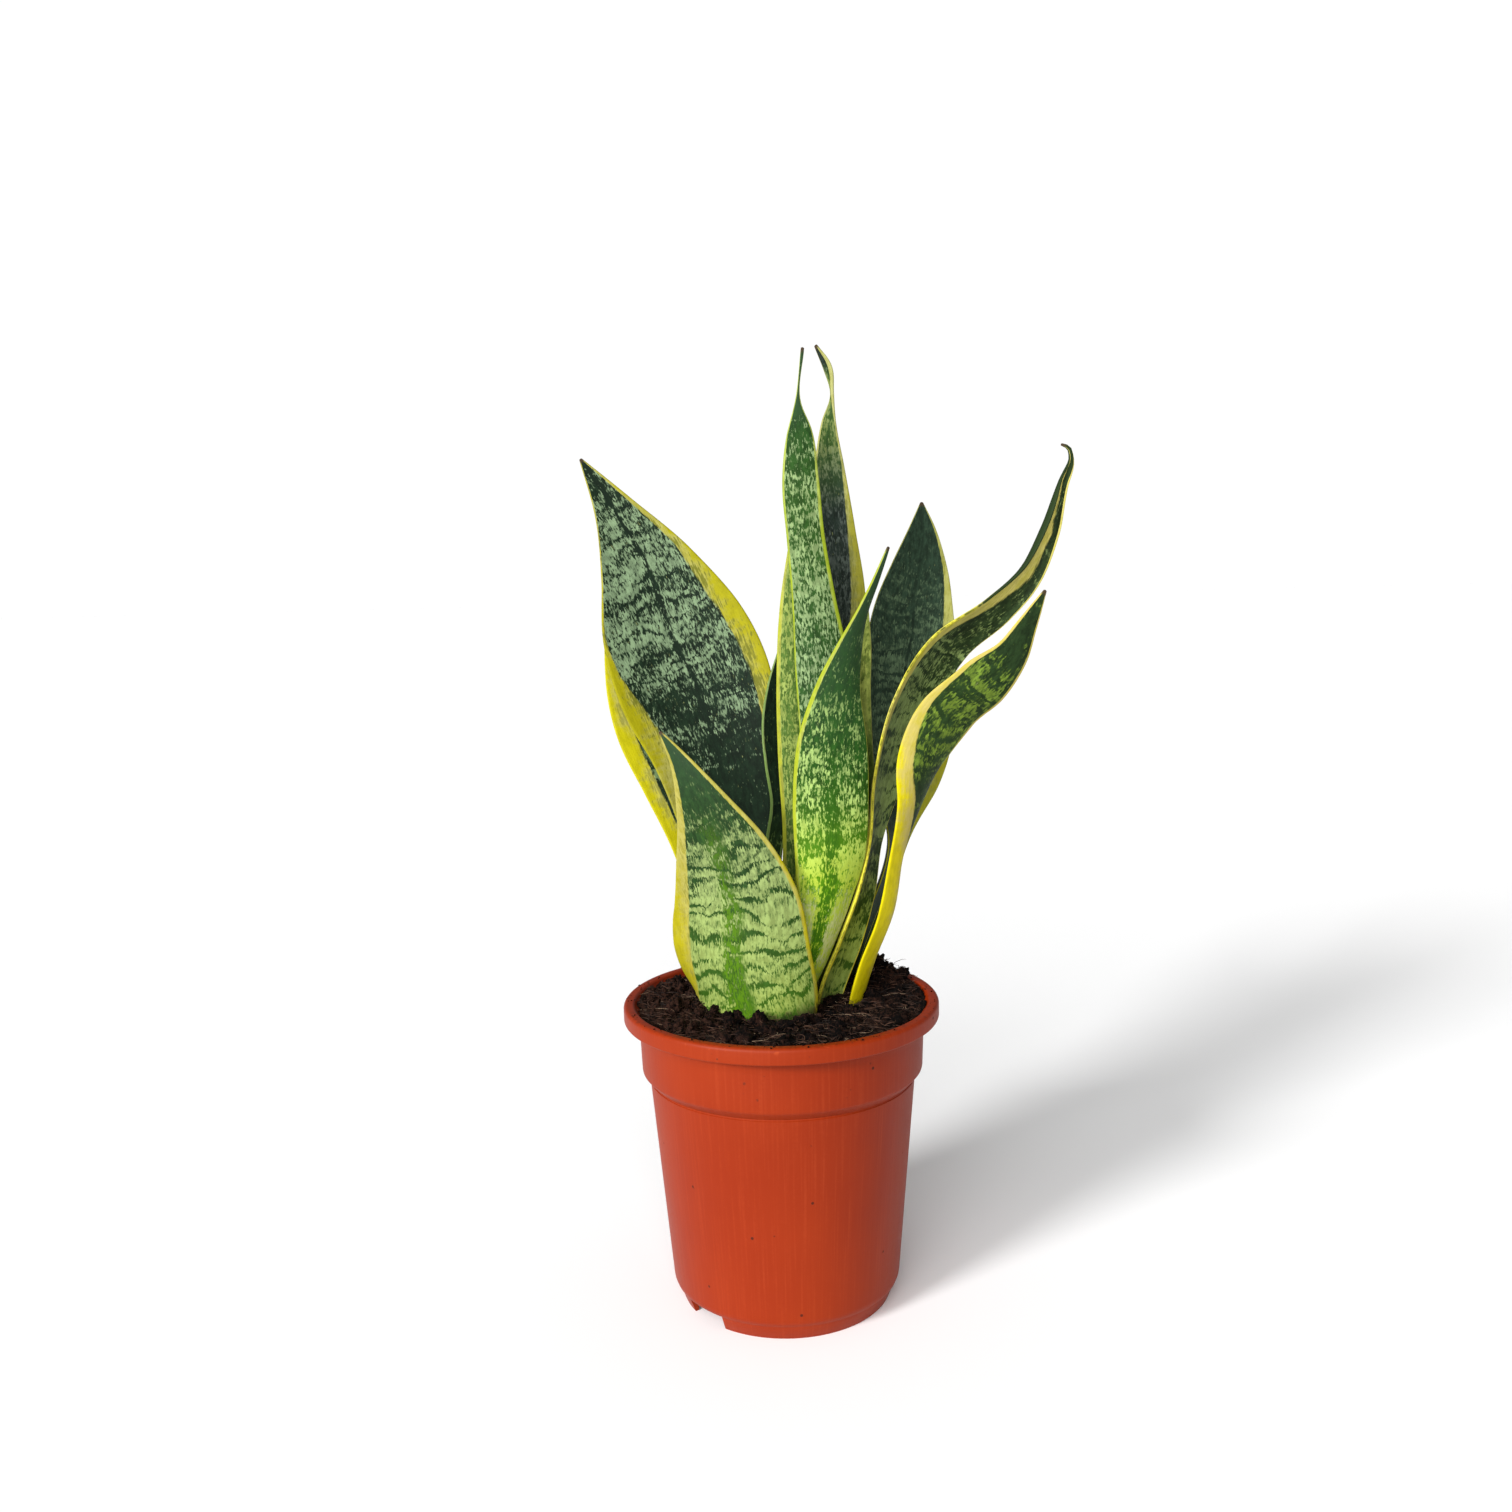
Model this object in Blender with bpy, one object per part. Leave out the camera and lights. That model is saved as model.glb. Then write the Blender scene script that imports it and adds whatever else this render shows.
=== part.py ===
"""Snake plant in a 12 cm nursery pot: pot, soil, rhizome and twelve leaves.

The origin is the middle of the pot's base, +Z is up and the front of the plant looks along -Y.
Lengths are written in millimetres and scaled to metres as the meshes are made.
"""

import math

import bmesh
import bpy
import numpy as np
from mathutils import Vector, noise

MM = 0.001

# The clear gap kept between pieces that touch in the real plant.
GAP = 0.4

# Pot, a turned shell with a rolled rim, a collar, a step and a foot ring.
POT_HEIGHT = 116.0
RIM_RADIUS = 60.0
RIM_HEIGHT = 6.2
RIM_INNER_RADIUS = 55.6
RIM_BEND = 1.6
RIM_LIP_DEPTH = 3.0
COLLAR_TOP_RADIUS = 54.3
COLLAR_BOTTOM_RADIUS = 53.6
COLLAR_BOTTOM_HEIGHT = 90.5
WALL_TOP_RADIUS = 50.7
WALL_TOP_HEIGHT = 87.0
WALL_BOTTOM_RADIUS = 44.0
WALL_BOTTOM_HEIGHT = 9.0
FOOT_TOP_RADIUS = 42.3
FOOT_TOP_HEIGHT = 5.8
FOOT_RADIUS = 40.4
FOOT_RING_WIDTH = 1.6
FOOT_RING_DRAFT = 0.6
HEEL_INSET = 0.5
HEEL_RISE = 1.0
STEP_DROP = 1.0
WALL = 1.2
FLOOR_TOP = 7.2
FLOOR_INSET = 0.4
FLOOR_FILLET = (2.0, 3.0)
PAD_RADIUS = 14.0
PAD_DRAFT = 2.0
PAD_CORNER = 1.0
POT_SEGMENTS = 40

# Two notches in the foot ring let water out sideways, and eight holes drain the floor.
NOTCH_ANGLES = (222.5, 42.5)
NOTCH_SPREAD = 25.0
NOTCH_HEIGHT = 5.8
NOTCH_REACH = (-4.0, 5.0)
DRAIN_HOLES = 8
DRAIN_HOLE_RADIUS = 3.2
DRAIN_CIRCLE_RADIUS = 29.0
DRAIN_SIDES = 12

# Every cutter starts and ends this far outside the wall it cuts.
CUTTER_MARGIN = 1.0

# Soil, filled to a few millimetres below the rim, with a mound at the back right.
SOIL_LEVEL = 110.8
SOIL_LUMP = 1.5
SOIL_LUMP_SIZE = 13.0
MOUND_PLACE = (38.0, 30.0)
MOUND_HEIGHT = 9.0
MOUND_SPREAD = 15.0
SOIL_RINGS = 9
SOIL_SIDE_CLEARANCE = 0.6
SOIL_FILLET = (2.2, 3.4)
SOIL_MIDDLE = 40.0
SOIL_EDGE_HEIGHT = 104.0

# Leaf section: how it is sampled, and how thick it is from midrib to margin.
LEAF_ACROSS = 4
LEAF_RING_SPACING = 9.0
LEAF_THICKNESS = 2.6
MARGIN_THICKNESS = 0.9
TIP_THICKNESS = 0.9
LEAST_HALF_WIDTH = 0.5
FLATTEST_ARC = 0.02

# The clearance cut in the soil reaches this far below a leaf's foot, down to the rhizome.
CUTTER_REACH = 3.0

# Each leaf is a list of stations from its buried foot to its tip:
# x, y, z of the section's middle, half width, turn of the width about the leaf's own axis in
# degrees (0 faces the front, positive brings the left margin forward), and the half angle of the
# section's arc in degrees (positive is hollow towards the front).
LEAVES = {
    "leaf_tall_left": (
        (-10, 4, 88, 6, -10, 50),
        (-13, 6, 112, 9, -6, 45),
        (-14, 17, 146, 14.5, 6, 34),
        (-17.5, 21.5, 181, 21.5, 5, 26),
        (-23, 24, 211, 27, 4, 24),
        (-31, 27, 235, 31, 5, 22),
        (-40, 31, 258, 28.5, 7, 18),
        (-50, 36, 282, 19, 9, 14),
        (-62, 41, 304, 8.5, 10, 10),
        (-75, 45, 324, 0.6, 10, 5),
    ),
    "leaf_behind_left": (
        (-16, 20, 84, 6, 10, 50),
        (-18, 23, 112, 9, 10, 40),
        (-21, 27, 145, 14, 8, 30),
        (-25.5, 31, 173, 18, 6, 24),
        (-33, 36, 198, 22, 6, 20),
        (-42, 40, 221, 23.5, 6, 18),
        (-50, 45, 245, 19.5, 6, 14),
        (-59, 49, 266, 10, 6, 10),
        (-67, 52, 282, 0.6, 6, 5),
    ),
    "leaf_front": (
        (-8, -9, 84, 9, -24, -70),
        (-6, -4, 99, 22, -24, -68),
        (-7.5, -3.5, 114, 28.5, -24, -60),
        (-13, -5, 136, 29.5, -21, -46),
        (-15, -8, 157, 25.5, -18, -36),
        (-20.5, -11, 177, 18.5, -18, -28),
        (-27.5, -13, 194, 10.5, -20, -20),
        (-35.5, -13, 210, 3.8, -18, -12),
        (-42, -12, 220, 0.6, -10, -5),
    ),
    "leaf_tall_centre": (
        (5, 6, 88, 4.5, 8, -30),
        (6, 6.5, 112, 6.5, 6, -28),
        (12, 6, 145, 8, 4, -24),
        (17, 5.5, 178, 9, 2, -22),
        (19, 6, 212, 9.8, 4, -20),
        (18, 7, 244, 10.2, 0, -18),
        (15.5, 7, 268, 8.2, 0, -16),
        (13, 7, 290, 7.2, 6, -12),
        (11.5, 6, 311, 6.8, 0, -10),
        (11.5, 4, 328, 4.6, 0, -8),
        (11, 2.5, 338, 1.2, 0, -4),
        (13, 0, 357, 0.6, 0, 0),
    ),
    "leaf_centre_back": (
        (1, 17, 88, 4.5, 6, -30),
        (3, 17, 112, 6, 6, -26),
        (6.5, 15.5, 144, 6.2, 8, -20),
        (8.5, 14, 176, 6.6, 8, -16),
        (8, 13.5, 207, 7.2, 8, -14),
        (8, 13.5, 234, 7.2, 8, -12),
        (9, 14, 266, 6, 8, -10),
        (10, 14.5, 287, 3.4, 4, -8),
        (10, 15, 303, 0.6, 0, 0),
    ),
    "leaf_tall_back": (
        (8, 24, 84, 5, 8, 34),
        (10, 25, 112, 6, 10, 30),
        (16, 26.5, 150, 6.6, 14, 26),
        (24, 29, 204, 7.6, 14, 22),
        (26.5, 30, 236, 8.6, 12, 22),
        (28, 31, 265, 9.3, 12, 20),
        (26, 32, 293, 7.6, 14, 20),
        (23.5, 33, 318, 5.9, 10, 18),
        (23.5, 34, 334, 3, 0, 12),
        (25, 35, 346, 0.8, -30, 5),
        (23.5, 35, 355, 2.1, -40, 20),
        (19, 36, 364, 0.7, -40, 5),
    ),
    "leaf_inner_left": (
        (0, 11, 90, 2.4, 10, 24),
        (0.5, 10.5, 112, 2.6, 12, 24),
        (0, 10, 129, 2.6, 12, 24),
        (-2.5, 12, 147, 3, 14, 24),
        (-1.5, 16, 171, 3.6, 16, 20),
        (2, 17.5, 188, 4.8, 22, 20),
        (1.5, 19.5, 203, 6.4, 26, 20),
        (0.5, 20, 220, 6.2, 28, 18),
        (1, 21, 233, 4.2, 28, 12),
        (3, 21, 249, 0.6, 20, 0),
    ),
    "leaf_front_centre": (
        (1, -2, 89, 6, 20, -52),
        (2.2, -1, 112, 8.8, 24, -46),
        (10.5, -2, 133, 10, 24, -40),
        (16.3, -4, 152, 11.2, 18, -32),
        (19.5, -7, 172, 13.8, 8, -26),
        (20, -9, 194, 14.4, 4, -22),
        (21, -10, 215, 13.2, 9, -20),
        (23.5, -9, 234, 9.2, 21, -18),
        (28, -7, 249, 5.9, 37, -16),
        (33, -4.5, 262, 2.9, 46, -12),
        (38, -3, 273, 1.7, 44, -8),
        (43, -2, 285, 0.6, 30, 0),
    ),
    "leaf_small_centre": (
        (16, 16, 88, 3.2, 10, 24),
        (18, 16.5, 112, 4.2, 12, 24),
        (25, 16, 150, 4.2, 14, 20),
        (30.5, 14.5, 189, 4.2, 14, 16),
        (32, 13.5, 212, 4.3, 14, 14),
        (33, 13.5, 232, 4.2, 14, 12),
        (34.5, 13.5, 248, 3.1, 16, 8),
        (36, 14, 263, 0.6, 10, 0),
    ),
    "leaf_back_right": (
        (24, 26, 84, 7, 10, 50),
        (28, 28, 112, 9, 26, 44),
        (38, 30, 141, 9, 50, 36),
        (47, 31, 168, 10.5, 58, 30),
        (51.5, 34, 192, 17, 32, 26),
        (55, 38, 216, 20, 20, 24),
        (56.5, 41, 240, 18.6, 16, 22),
        (58, 44, 260, 16.4, 15, 18),
        (60, 46, 277, 12.2, 16, 14),
        (61, 48, 292, 6.6, 16, 10),
        (61, 50, 304, 0.6, 10, 0),
    ),
    "leaf_curly_right": (
        (18, 5.5, 90, 5, 40, 40),
        (19, 5, 112, 7.5, 44, 42),
        (27.4, 5, 135, 8.4, 50, 40),
        (33.3, 4.5, 153, 9.4, 62, 34),
        (37, 4.5, 174, 10, 80, 30),
        (43, 5, 198, 12.4, 56, 32),
        (52.5, 2, 226, 13.6, 42, 34),
        (66, -1, 247, 11.8, 32, 40),
        (83, -3, 260, 9.4, 34, 52),
        (95, -3, 273, 7.6, 38, 74),
        (103, -2, 289, 6.6, 42, 100),
        (108, 1, 307, 3.2, 40, 90),
        (110.5, 3, 318, 0.8, 20, 20),
    ),
    "leaf_front_right": (
        (29, 8, 88, 5.5, 84, -50),
        (29.5, 8, 112, 9, 82, -52),
        (32.5, 6, 129, 10.5, 80, -46),
        (39, 2.5, 150, 11.8, 80, -40),
        (43.5, 0, 170, 11, 76, -30),
        (50, -5, 192, 10.8, 55, -26),
        (54, -9, 209, 11.8, 30, -24),
        (64, -12, 224, 11.6, 18, -20),
        (76, -15, 234, 9.8, 14, -18),
        (86, -16, 244, 6.2, 16, -14),
        (91, -17, 255, 3.8, 14, -8),
        (97, -18, 268, 0.6, 0, 0),
    ),
}

# Rhizome: a ringed stem lying under the leaves, swollen where the two shoots stand on it.
RHIZOME_PATH = (
    (-22, 1, 72, 5.5),
    (-9, 4, 76, 10.5),
    (5, 9, 75.5, 8.5),
    (20, 13, 76, 10.5),
    (33, 16, 71, 5),
)
RHIZOME_RINGS = 21
RHIZOME_SIDES = 12
RHIZOME_RING_STEP = 3
RHIZOME_RING_DEPTH = 0.5
RHIZOME_BLUNTNESS = (0.45, 0.2)


def clear_scene():
    for old in list(bpy.data.objects):
        bpy.data.objects.remove(old, do_unlink=True)


def make_material(name, colour, roughness):
    material = bpy.data.materials.new(name)
    material.use_nodes = True
    shader = material.node_tree.nodes["Principled BSDF"]
    shader.inputs["Base Color"].default_value = (*colour, 1.0)
    shader.inputs["Roughness"].default_value = roughness
    shader.inputs["Metallic"].default_value = 0.0
    material.diffuse_color = (*colour, 1.0)
    return material


def add_object(name, points, faces, material=None):
    """Makes one closed mesh object from points in millimetres, with its faces turned outwards."""
    mesh = bpy.data.meshes.new(name)
    mesh.from_pydata([Vector(p) * MM for p in points], [], faces)
    work = bmesh.new()
    work.from_mesh(mesh)
    bmesh.ops.recalc_face_normals(work, faces=work.faces)
    work.to_mesh(mesh)
    work.free()
    mesh.shade_smooth()
    mesh.set_sharp_from_angle(angle=math.radians(40))
    obj = bpy.data.objects.new(name, mesh)
    bpy.context.scene.collection.objects.link(obj)
    if material:
        mesh.materials.append(material)
    return obj


def as_cutter(obj):
    obj.hide_render = True
    obj.display_type = "WIRE"
    return obj


def cut(obj, cutter):
    modifier = obj.modifiers.new(cutter.name, "BOOLEAN")
    modifier.operation = "DIFFERENCE"
    modifier.solver = "EXACT"
    modifier.object = cutter


def loop_faces(rings, sides):
    """Quads between neighbouring closed rings of points, ring after ring."""
    faces = []
    for ring in range(rings - 1):
        for side in range(sides):
            after = (side + 1) % sides
            low = ring * sides
            high = low + sides
            faces.append((low + side, low + after, high + after, high + side))
    return faces


def smooth_rows(rows, spacing):
    """Reads a Catmull-Rom curve through the rows, about one row for each spacing of length."""
    rows = np.array(rows, float)
    steps = np.linalg.norm(np.diff(rows[:, :3], axis=0), axis=1)
    along = np.concatenate([[0.0], np.cumsum(steps)])
    slopes = np.gradient(rows, along, axis=0)
    count = max(2, round(along[-1] / spacing)) + 1
    result = []
    for place in np.linspace(0.0, along[-1], count):
        i = min(np.searchsorted(along, place, side="right") - 1, len(rows) - 2)
        span = along[i + 1] - along[i]
        t = (place - along[i]) / span
        start = (1 + 2 * t) * (1 - t) ** 2 * rows[i] + t * (1 - t) ** 2 * span * slopes[i]
        end = t * t * (3 - 2 * t) * rows[i + 1] + t * t * (t - 1) * span * slopes[i + 1]
        result.append(start + end)
    return np.array(result)


def unit(vector):
    return vector / np.linalg.norm(vector)


def leaf_section(row, tangent, fraction, grow):
    """The closed ring of points of one leaf section: its front face left to right, then its back."""
    centre = row[:3]
    half_width = max(row[3], LEAST_HALF_WIDTH) + grow
    turn = math.radians(row[4])
    arc = math.radians(row[5])
    if abs(arc) < FLATTEST_ARC:
        arc = FLATTEST_ARC
    level = unit(np.array([1.0, 0.0, 0.0]) - tangent[0] * tangent)
    away = np.cross(tangent, level)
    width_way = math.cos(turn) * level + math.sin(turn) * away
    depth_way = np.cross(tangent, width_way)
    middle = LEAF_THICKNESS + (TIP_THICKNESS - LEAF_THICKNESS) * fraction ** 2
    middle = min(middle, LEAST_HALF_WIDTH + half_width)
    margin = min(MARGIN_THICKNESS, middle)
    radius = half_width / arc
    front = []
    back = []
    for step in range(LEAF_ACROSS + 1):
        across = 2.0 * step / LEAF_ACROSS - 1.0
        angle = across * arc
        drop = radius * (math.cos(angle) - math.cos(arc))
        middle_line = centre + radius * math.sin(angle) * width_way + drop * depth_way
        outward = math.sin(angle) * width_way + math.cos(angle) * depth_way
        thick = margin + (middle - margin) * (1.0 - across * across)
        front.append(middle_line - (thick / 2 + grow) * outward)
        back.append(middle_line + (thick / 2 + grow) * outward)
    return front + back[::-1]


def make_leaf(name, stations, material=None, grow=0.0):
    """One leaf, or with grow the cutter that clears the soil around it."""
    rows = smooth_rows(stations, LEAF_RING_SPACING)
    tangents = np.gradient(rows[:, :3], axis=0)
    fractions = np.linspace(0.0, 1.0, len(rows))
    if grow:
        below = rows[0].copy()
        below[:3] -= unit(tangents[0]) * CUTTER_REACH
        rows = np.vstack([below, rows])
        tangents = np.vstack([tangents[0], tangents])
        fractions = np.append(0.0, fractions)
    points = []
    for row, tangent, fraction in zip(rows, tangents, fractions):
        points += leaf_section(row, unit(tangent), fraction, grow)
    sides = 2 * (LEAF_ACROSS + 1)
    faces = loop_faces(len(rows), sides)
    last = len(points) - sides
    for start in (0, last):
        for step in range(LEAF_ACROSS):
            left = start + step
            right = start + step + 1
            faces.append((left, right, start + sides - 2 - step, start + sides - 1 - step))
    return add_object(name, points, faces, material)


def turned(profile, segments):
    """Rings of points for a profile of (radius, height) turned about the Z axis."""
    points = []
    for radius, height in profile:
        for step in range(segments):
            angle = 2 * math.pi * step / segments
            points.append((radius * math.cos(angle), radius * math.sin(angle), height))
    return points


def rounded(centre, size, start, end, steps):
    """Points of an arc in the (radius, height) plane, with its angles in degrees."""
    angles = np.radians(np.linspace(start, end, steps + 1))
    return [(centre[0] + size * math.cos(a), centre[1] + size * math.sin(a)) for a in angles]


def wall_inside_radius(height):
    """Radius of the pot's inner face at a height above its floor."""
    face = (
        (FLOOR_TOP, WALL_BOTTOM_RADIUS - WALL - FLOOR_INSET),
        (WALL_TOP_HEIGHT - STEP_DROP, WALL_TOP_RADIUS - WALL),
        (COLLAR_BOTTOM_HEIGHT - STEP_DROP, COLLAR_BOTTOM_RADIUS - WALL),
        (POT_HEIGHT - RIM_LIP_DEPTH, COLLAR_TOP_RADIUS - WALL),
        (POT_HEIGHT, RIM_INNER_RADIUS),
    )
    heights, radii = zip(*face)
    return float(np.interp(height, heights, radii))


def pot_profile():
    """The pot's closed outline: out from the pad, up the outside, over the rim and down the inside."""
    rim_low = POT_HEIGHT - RIM_HEIGHT
    rim_outer_bend = RIM_RADIUS - RIM_BEND
    rim_inner_bend = RIM_INNER_RADIUS + RIM_BEND
    top_bend = POT_HEIGHT - RIM_BEND
    ring_inner = FOOT_RADIUS - FOOT_RING_WIDTH
    under_floor = FLOOR_TOP - WALL
    fillet_width, fillet_height = FLOOR_FILLET
    outline = [
        (PAD_RADIUS, 0.0),
        (PAD_RADIUS + PAD_DRAFT, under_floor),
        (ring_inner + FOOT_RING_DRAFT, under_floor),
        (ring_inner, 0.0),
        (FOOT_RADIUS, 0.0),
        (FOOT_TOP_RADIUS, FOOT_TOP_HEIGHT),
        (WALL_BOTTOM_RADIUS - HEEL_INSET, FOOT_TOP_HEIGHT + HEEL_RISE),
        (WALL_BOTTOM_RADIUS, WALL_BOTTOM_HEIGHT),
        (WALL_TOP_RADIUS, WALL_TOP_HEIGHT),
        (COLLAR_BOTTOM_RADIUS, COLLAR_BOTTOM_HEIGHT),
        (COLLAR_TOP_RADIUS, rim_low),
    ]
    outline += rounded((rim_outer_bend, rim_low + RIM_BEND), RIM_BEND, -90, 0, 2)
    outline += rounded((rim_outer_bend, top_bend), RIM_BEND, 0, 90, 3)
    outline += rounded((rim_inner_bend, top_bend), RIM_BEND, 90, 160, 2)
    for height in (
        POT_HEIGHT - RIM_LIP_DEPTH - STEP_DROP,
        COLLAR_BOTTOM_HEIGHT - STEP_DROP,
        WALL_TOP_HEIGHT - STEP_DROP,
        FLOOR_TOP + fillet_height,
    ):
        outline.append((wall_inside_radius(height), height))
    outline.append((wall_inside_radius(FLOOR_TOP) - fillet_width, FLOOR_TOP))
    outline.append((PAD_RADIUS + PAD_CORNER, FLOOR_TOP))
    outline.append((PAD_RADIUS - PAD_CORNER, WALL))
    return outline


def make_pot(material):
    outline = pot_profile()
    points = turned(outline, POT_SEGMENTS)
    faces = loop_faces(len(outline), POT_SEGMENTS)
    top_of_pad = range(len(points) - POT_SEGMENTS, len(points))
    bottom_of_pad = range(POT_SEGMENTS)
    faces += [tuple(top_of_pad), tuple(reversed(bottom_of_pad))]
    pot = add_object("pot", points, faces, material)
    for number, angle in enumerate(NOTCH_ANGLES):
        cut(pot, notch_cutter(f"cut_notch_{number + 1}", angle))
    for number in range(DRAIN_HOLES):
        cut(pot, hole_cutter(f"cut_drain_{number + 1}", 360.0 * (number + 0.5) / DRAIN_HOLES))
    return pot


def notch_cutter(name, angle):
    """A wedge that takes a notch out of the foot ring, centred on an angle in degrees."""
    points = []
    for height in (-CUTTER_MARGIN, NOTCH_HEIGHT):
        for reach in NOTCH_REACH:
            radius = FOOT_RADIUS + reach
            for side in (-0.5, 0.5):
                way = math.radians(angle + side * NOTCH_SPREAD)
                points.append((radius * math.cos(way), radius * math.sin(way), height))
    faces = [(0, 1, 3, 2), (4, 6, 7, 5), (0, 4, 5, 1), (2, 3, 7, 6), (0, 2, 6, 4), (1, 5, 7, 3)]
    return as_cutter(add_object(name, points, faces))


def hole_cutter(name, angle):
    """An upright bar that drills one drain hole through the floor."""
    way = math.radians(angle)
    centre_x = DRAIN_CIRCLE_RADIUS * math.cos(way)
    centre_y = DRAIN_CIRCLE_RADIUS * math.sin(way)
    points = []
    for height in (FLOOR_TOP - WALL - CUTTER_MARGIN, FLOOR_TOP + CUTTER_MARGIN):
        for x, y, _ in turned([(DRAIN_HOLE_RADIUS, 0.0)], DRAIN_SIDES):
            points.append((centre_x + x, centre_y + y, height))
    faces = loop_faces(2, DRAIN_SIDES)
    faces += [tuple(range(DRAIN_SIDES)), tuple(range(DRAIN_SIDES, 2 * DRAIN_SIDES))]
    return as_cutter(add_object(name, points, faces))


def soil_height(x, y):
    """Height of the soil's surface above the pot's base."""
    lumps = noise.fractal(Vector((x, y, 3.0)) / SOIL_LUMP_SIZE, 1.0, 2.0, 3)
    away = math.hypot(x - MOUND_PLACE[0], y - MOUND_PLACE[1]) / MOUND_SPREAD
    return SOIL_LEVEL + SOIL_LUMP * lumps + MOUND_HEIGHT * math.exp(-away * away)


def make_soil(material, cutters):
    """Fills the pot: a turned body whose top rings follow the lumpy surface."""
    floor = FLOOR_TOP + GAP
    fillet_width, fillet_height = SOIL_FILLET
    side = [(PAD_RADIUS - PAD_DRAFT - GAP, WALL + GAP), (PAD_RADIUS, floor)]
    side.append((wall_inside_radius(floor) - SOIL_SIDE_CLEARANCE - fillet_width, floor))
    for height in (
        floor + fillet_height,
        SOIL_MIDDLE,
        WALL_TOP_HEIGHT - STEP_DROP,
        COLLAR_BOTTOM_HEIGHT - STEP_DROP,
        SOIL_EDGE_HEIGHT,
    ):
        side.append((wall_inside_radius(height) - SOIL_SIDE_CLEARANCE, height))
    points = turned(side, POT_SEGMENTS)
    edge = wall_inside_radius(SOIL_LEVEL) - SOIL_SIDE_CLEARANCE
    for ring in range(SOIL_RINGS, 0, -1):
        radius = edge * ring / SOIL_RINGS
        for x, y, _ in turned([(radius, 0.0)], POT_SEGMENTS):
            points.append((x, y, soil_height(x, y)))
    rings = len(points) // POT_SEGMENTS
    faces = loop_faces(rings, POT_SEGMENTS)
    faces.append(tuple(range(POT_SEGMENTS)))
    last = len(points) - POT_SEGMENTS
    points.append((0.0, 0.0, soil_height(0.0, 0.0)))
    for step in range(POT_SEGMENTS):
        faces.append((last + step, last + (step + 1) % POT_SEGMENTS, len(points) - 1))
    soil = add_object("soil", points, faces, material)
    for cutter in cutters:
        cut(soil, cutter)
    return soil


def make_rhizome(name, material=None, grow=0.0):
    """A tube of changing radius along the stem, pinched at each leaf scar."""
    length = sum(math.dist(a[:3], b[:3]) for a, b in zip(RHIZOME_PATH, RHIZOME_PATH[1:]))
    rows = smooth_rows(RHIZOME_PATH, length / RHIZOME_RINGS)
    end_size, end_growth = RHIZOME_BLUNTNESS
    tangents = np.gradient(rows[:, :3], axis=0)
    points = []
    for index, row in enumerate(rows):
        tangent = unit(tangents[index])
        side_way = unit(np.cross(tangent, (0.0, 0.0, 1.0)))
        up_way = np.cross(side_way, tangent)
        from_end = min(index, len(rows) - 1 - index)
        blunt = min(1.0, end_size + end_growth * from_end)
        pinch = RHIZOME_RING_DEPTH if index % RHIZOME_RING_STEP == 0 else 0.0
        radius = row[3] * blunt - pinch + grow
        for side in range(RHIZOME_SIDES):
            angle = 2 * math.pi * side / RHIZOME_SIDES
            arm = math.cos(angle) * side_way + math.sin(angle) * up_way
            points.append(row[:3] + radius * arm)
    faces = loop_faces(len(rows), RHIZOME_SIDES)
    last = len(points) - RHIZOME_SIDES
    faces += [tuple(range(RHIZOME_SIDES)), tuple(range(last, last + RHIZOME_SIDES))]
    return add_object(name, points, faces, material)


def build():
    clear_scene()
    plastic = make_material("terracotta_plastic", (0.50, 0.075, 0.022), 0.42)
    peat = make_material("peat_soil", (0.022, 0.013, 0.009), 0.95)
    stem = make_material("rhizome_skin", (0.48, 0.25, 0.08), 0.6)
    make_pot(plastic)
    cutters = [as_cutter(make_rhizome("cut_rhizome", grow=GAP))]
    make_rhizome("rhizome", stem)
    for name, stations in LEAVES.items():
        green = make_material(name + "_green", (0.10, 0.20, 0.06), 0.38)
        make_leaf(name, stations, green)
        cutters.append(as_cutter(make_leaf("cut_" + name, stations, grow=GAP)))
    make_soil(peat, cutters)


build()
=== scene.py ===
import math
import random
import bmesh
import bpy
import numpy as np
from mathutils import Matrix, Vector, noise


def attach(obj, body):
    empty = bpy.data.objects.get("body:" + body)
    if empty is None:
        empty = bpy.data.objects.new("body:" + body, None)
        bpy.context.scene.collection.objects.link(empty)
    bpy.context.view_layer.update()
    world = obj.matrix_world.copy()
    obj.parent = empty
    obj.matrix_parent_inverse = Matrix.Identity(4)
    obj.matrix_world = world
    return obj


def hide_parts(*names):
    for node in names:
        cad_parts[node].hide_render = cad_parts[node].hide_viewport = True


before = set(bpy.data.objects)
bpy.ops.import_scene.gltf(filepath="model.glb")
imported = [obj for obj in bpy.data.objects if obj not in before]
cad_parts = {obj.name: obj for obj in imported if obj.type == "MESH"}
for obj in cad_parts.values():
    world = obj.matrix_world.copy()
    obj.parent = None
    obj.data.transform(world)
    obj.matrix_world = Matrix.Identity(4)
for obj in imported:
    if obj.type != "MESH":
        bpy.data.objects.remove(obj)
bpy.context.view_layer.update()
mm = 0.001
scene = bpy.context.scene
print("frame loaded:", len(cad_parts), "nodes")


# shader maths: a Wire is one output socket, and sums on it add Math nodes
class Wire:
    def __init__(self, recipe, socket):
        self.recipe = recipe
        self.socket = socket

    def maths(self, operation, *values):
        return self.recipe.add("Math", {"operation": operation}, dict(enumerate(values)))

    def __add__(self, other):
        return self.maths("ADD", self, other)

    def __radd__(self, other):
        return self.maths("ADD", other, self)

    def __sub__(self, other):
        return self.maths("SUBTRACT", self, other)

    def __rsub__(self, other):
        return self.maths("SUBTRACT", other, self)

    def __mul__(self, other):
        return self.maths("MULTIPLY", self, other)

    def __rmul__(self, other):
        return self.maths("MULTIPLY", other, self)

    def __truediv__(self, other):
        return self.maths("DIVIDE", self, other)

    def __abs__(self):
        return self.maths("ABSOLUTE", self)

    def least(self, other):
        return self.maths("MINIMUM", self, other)


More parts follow.
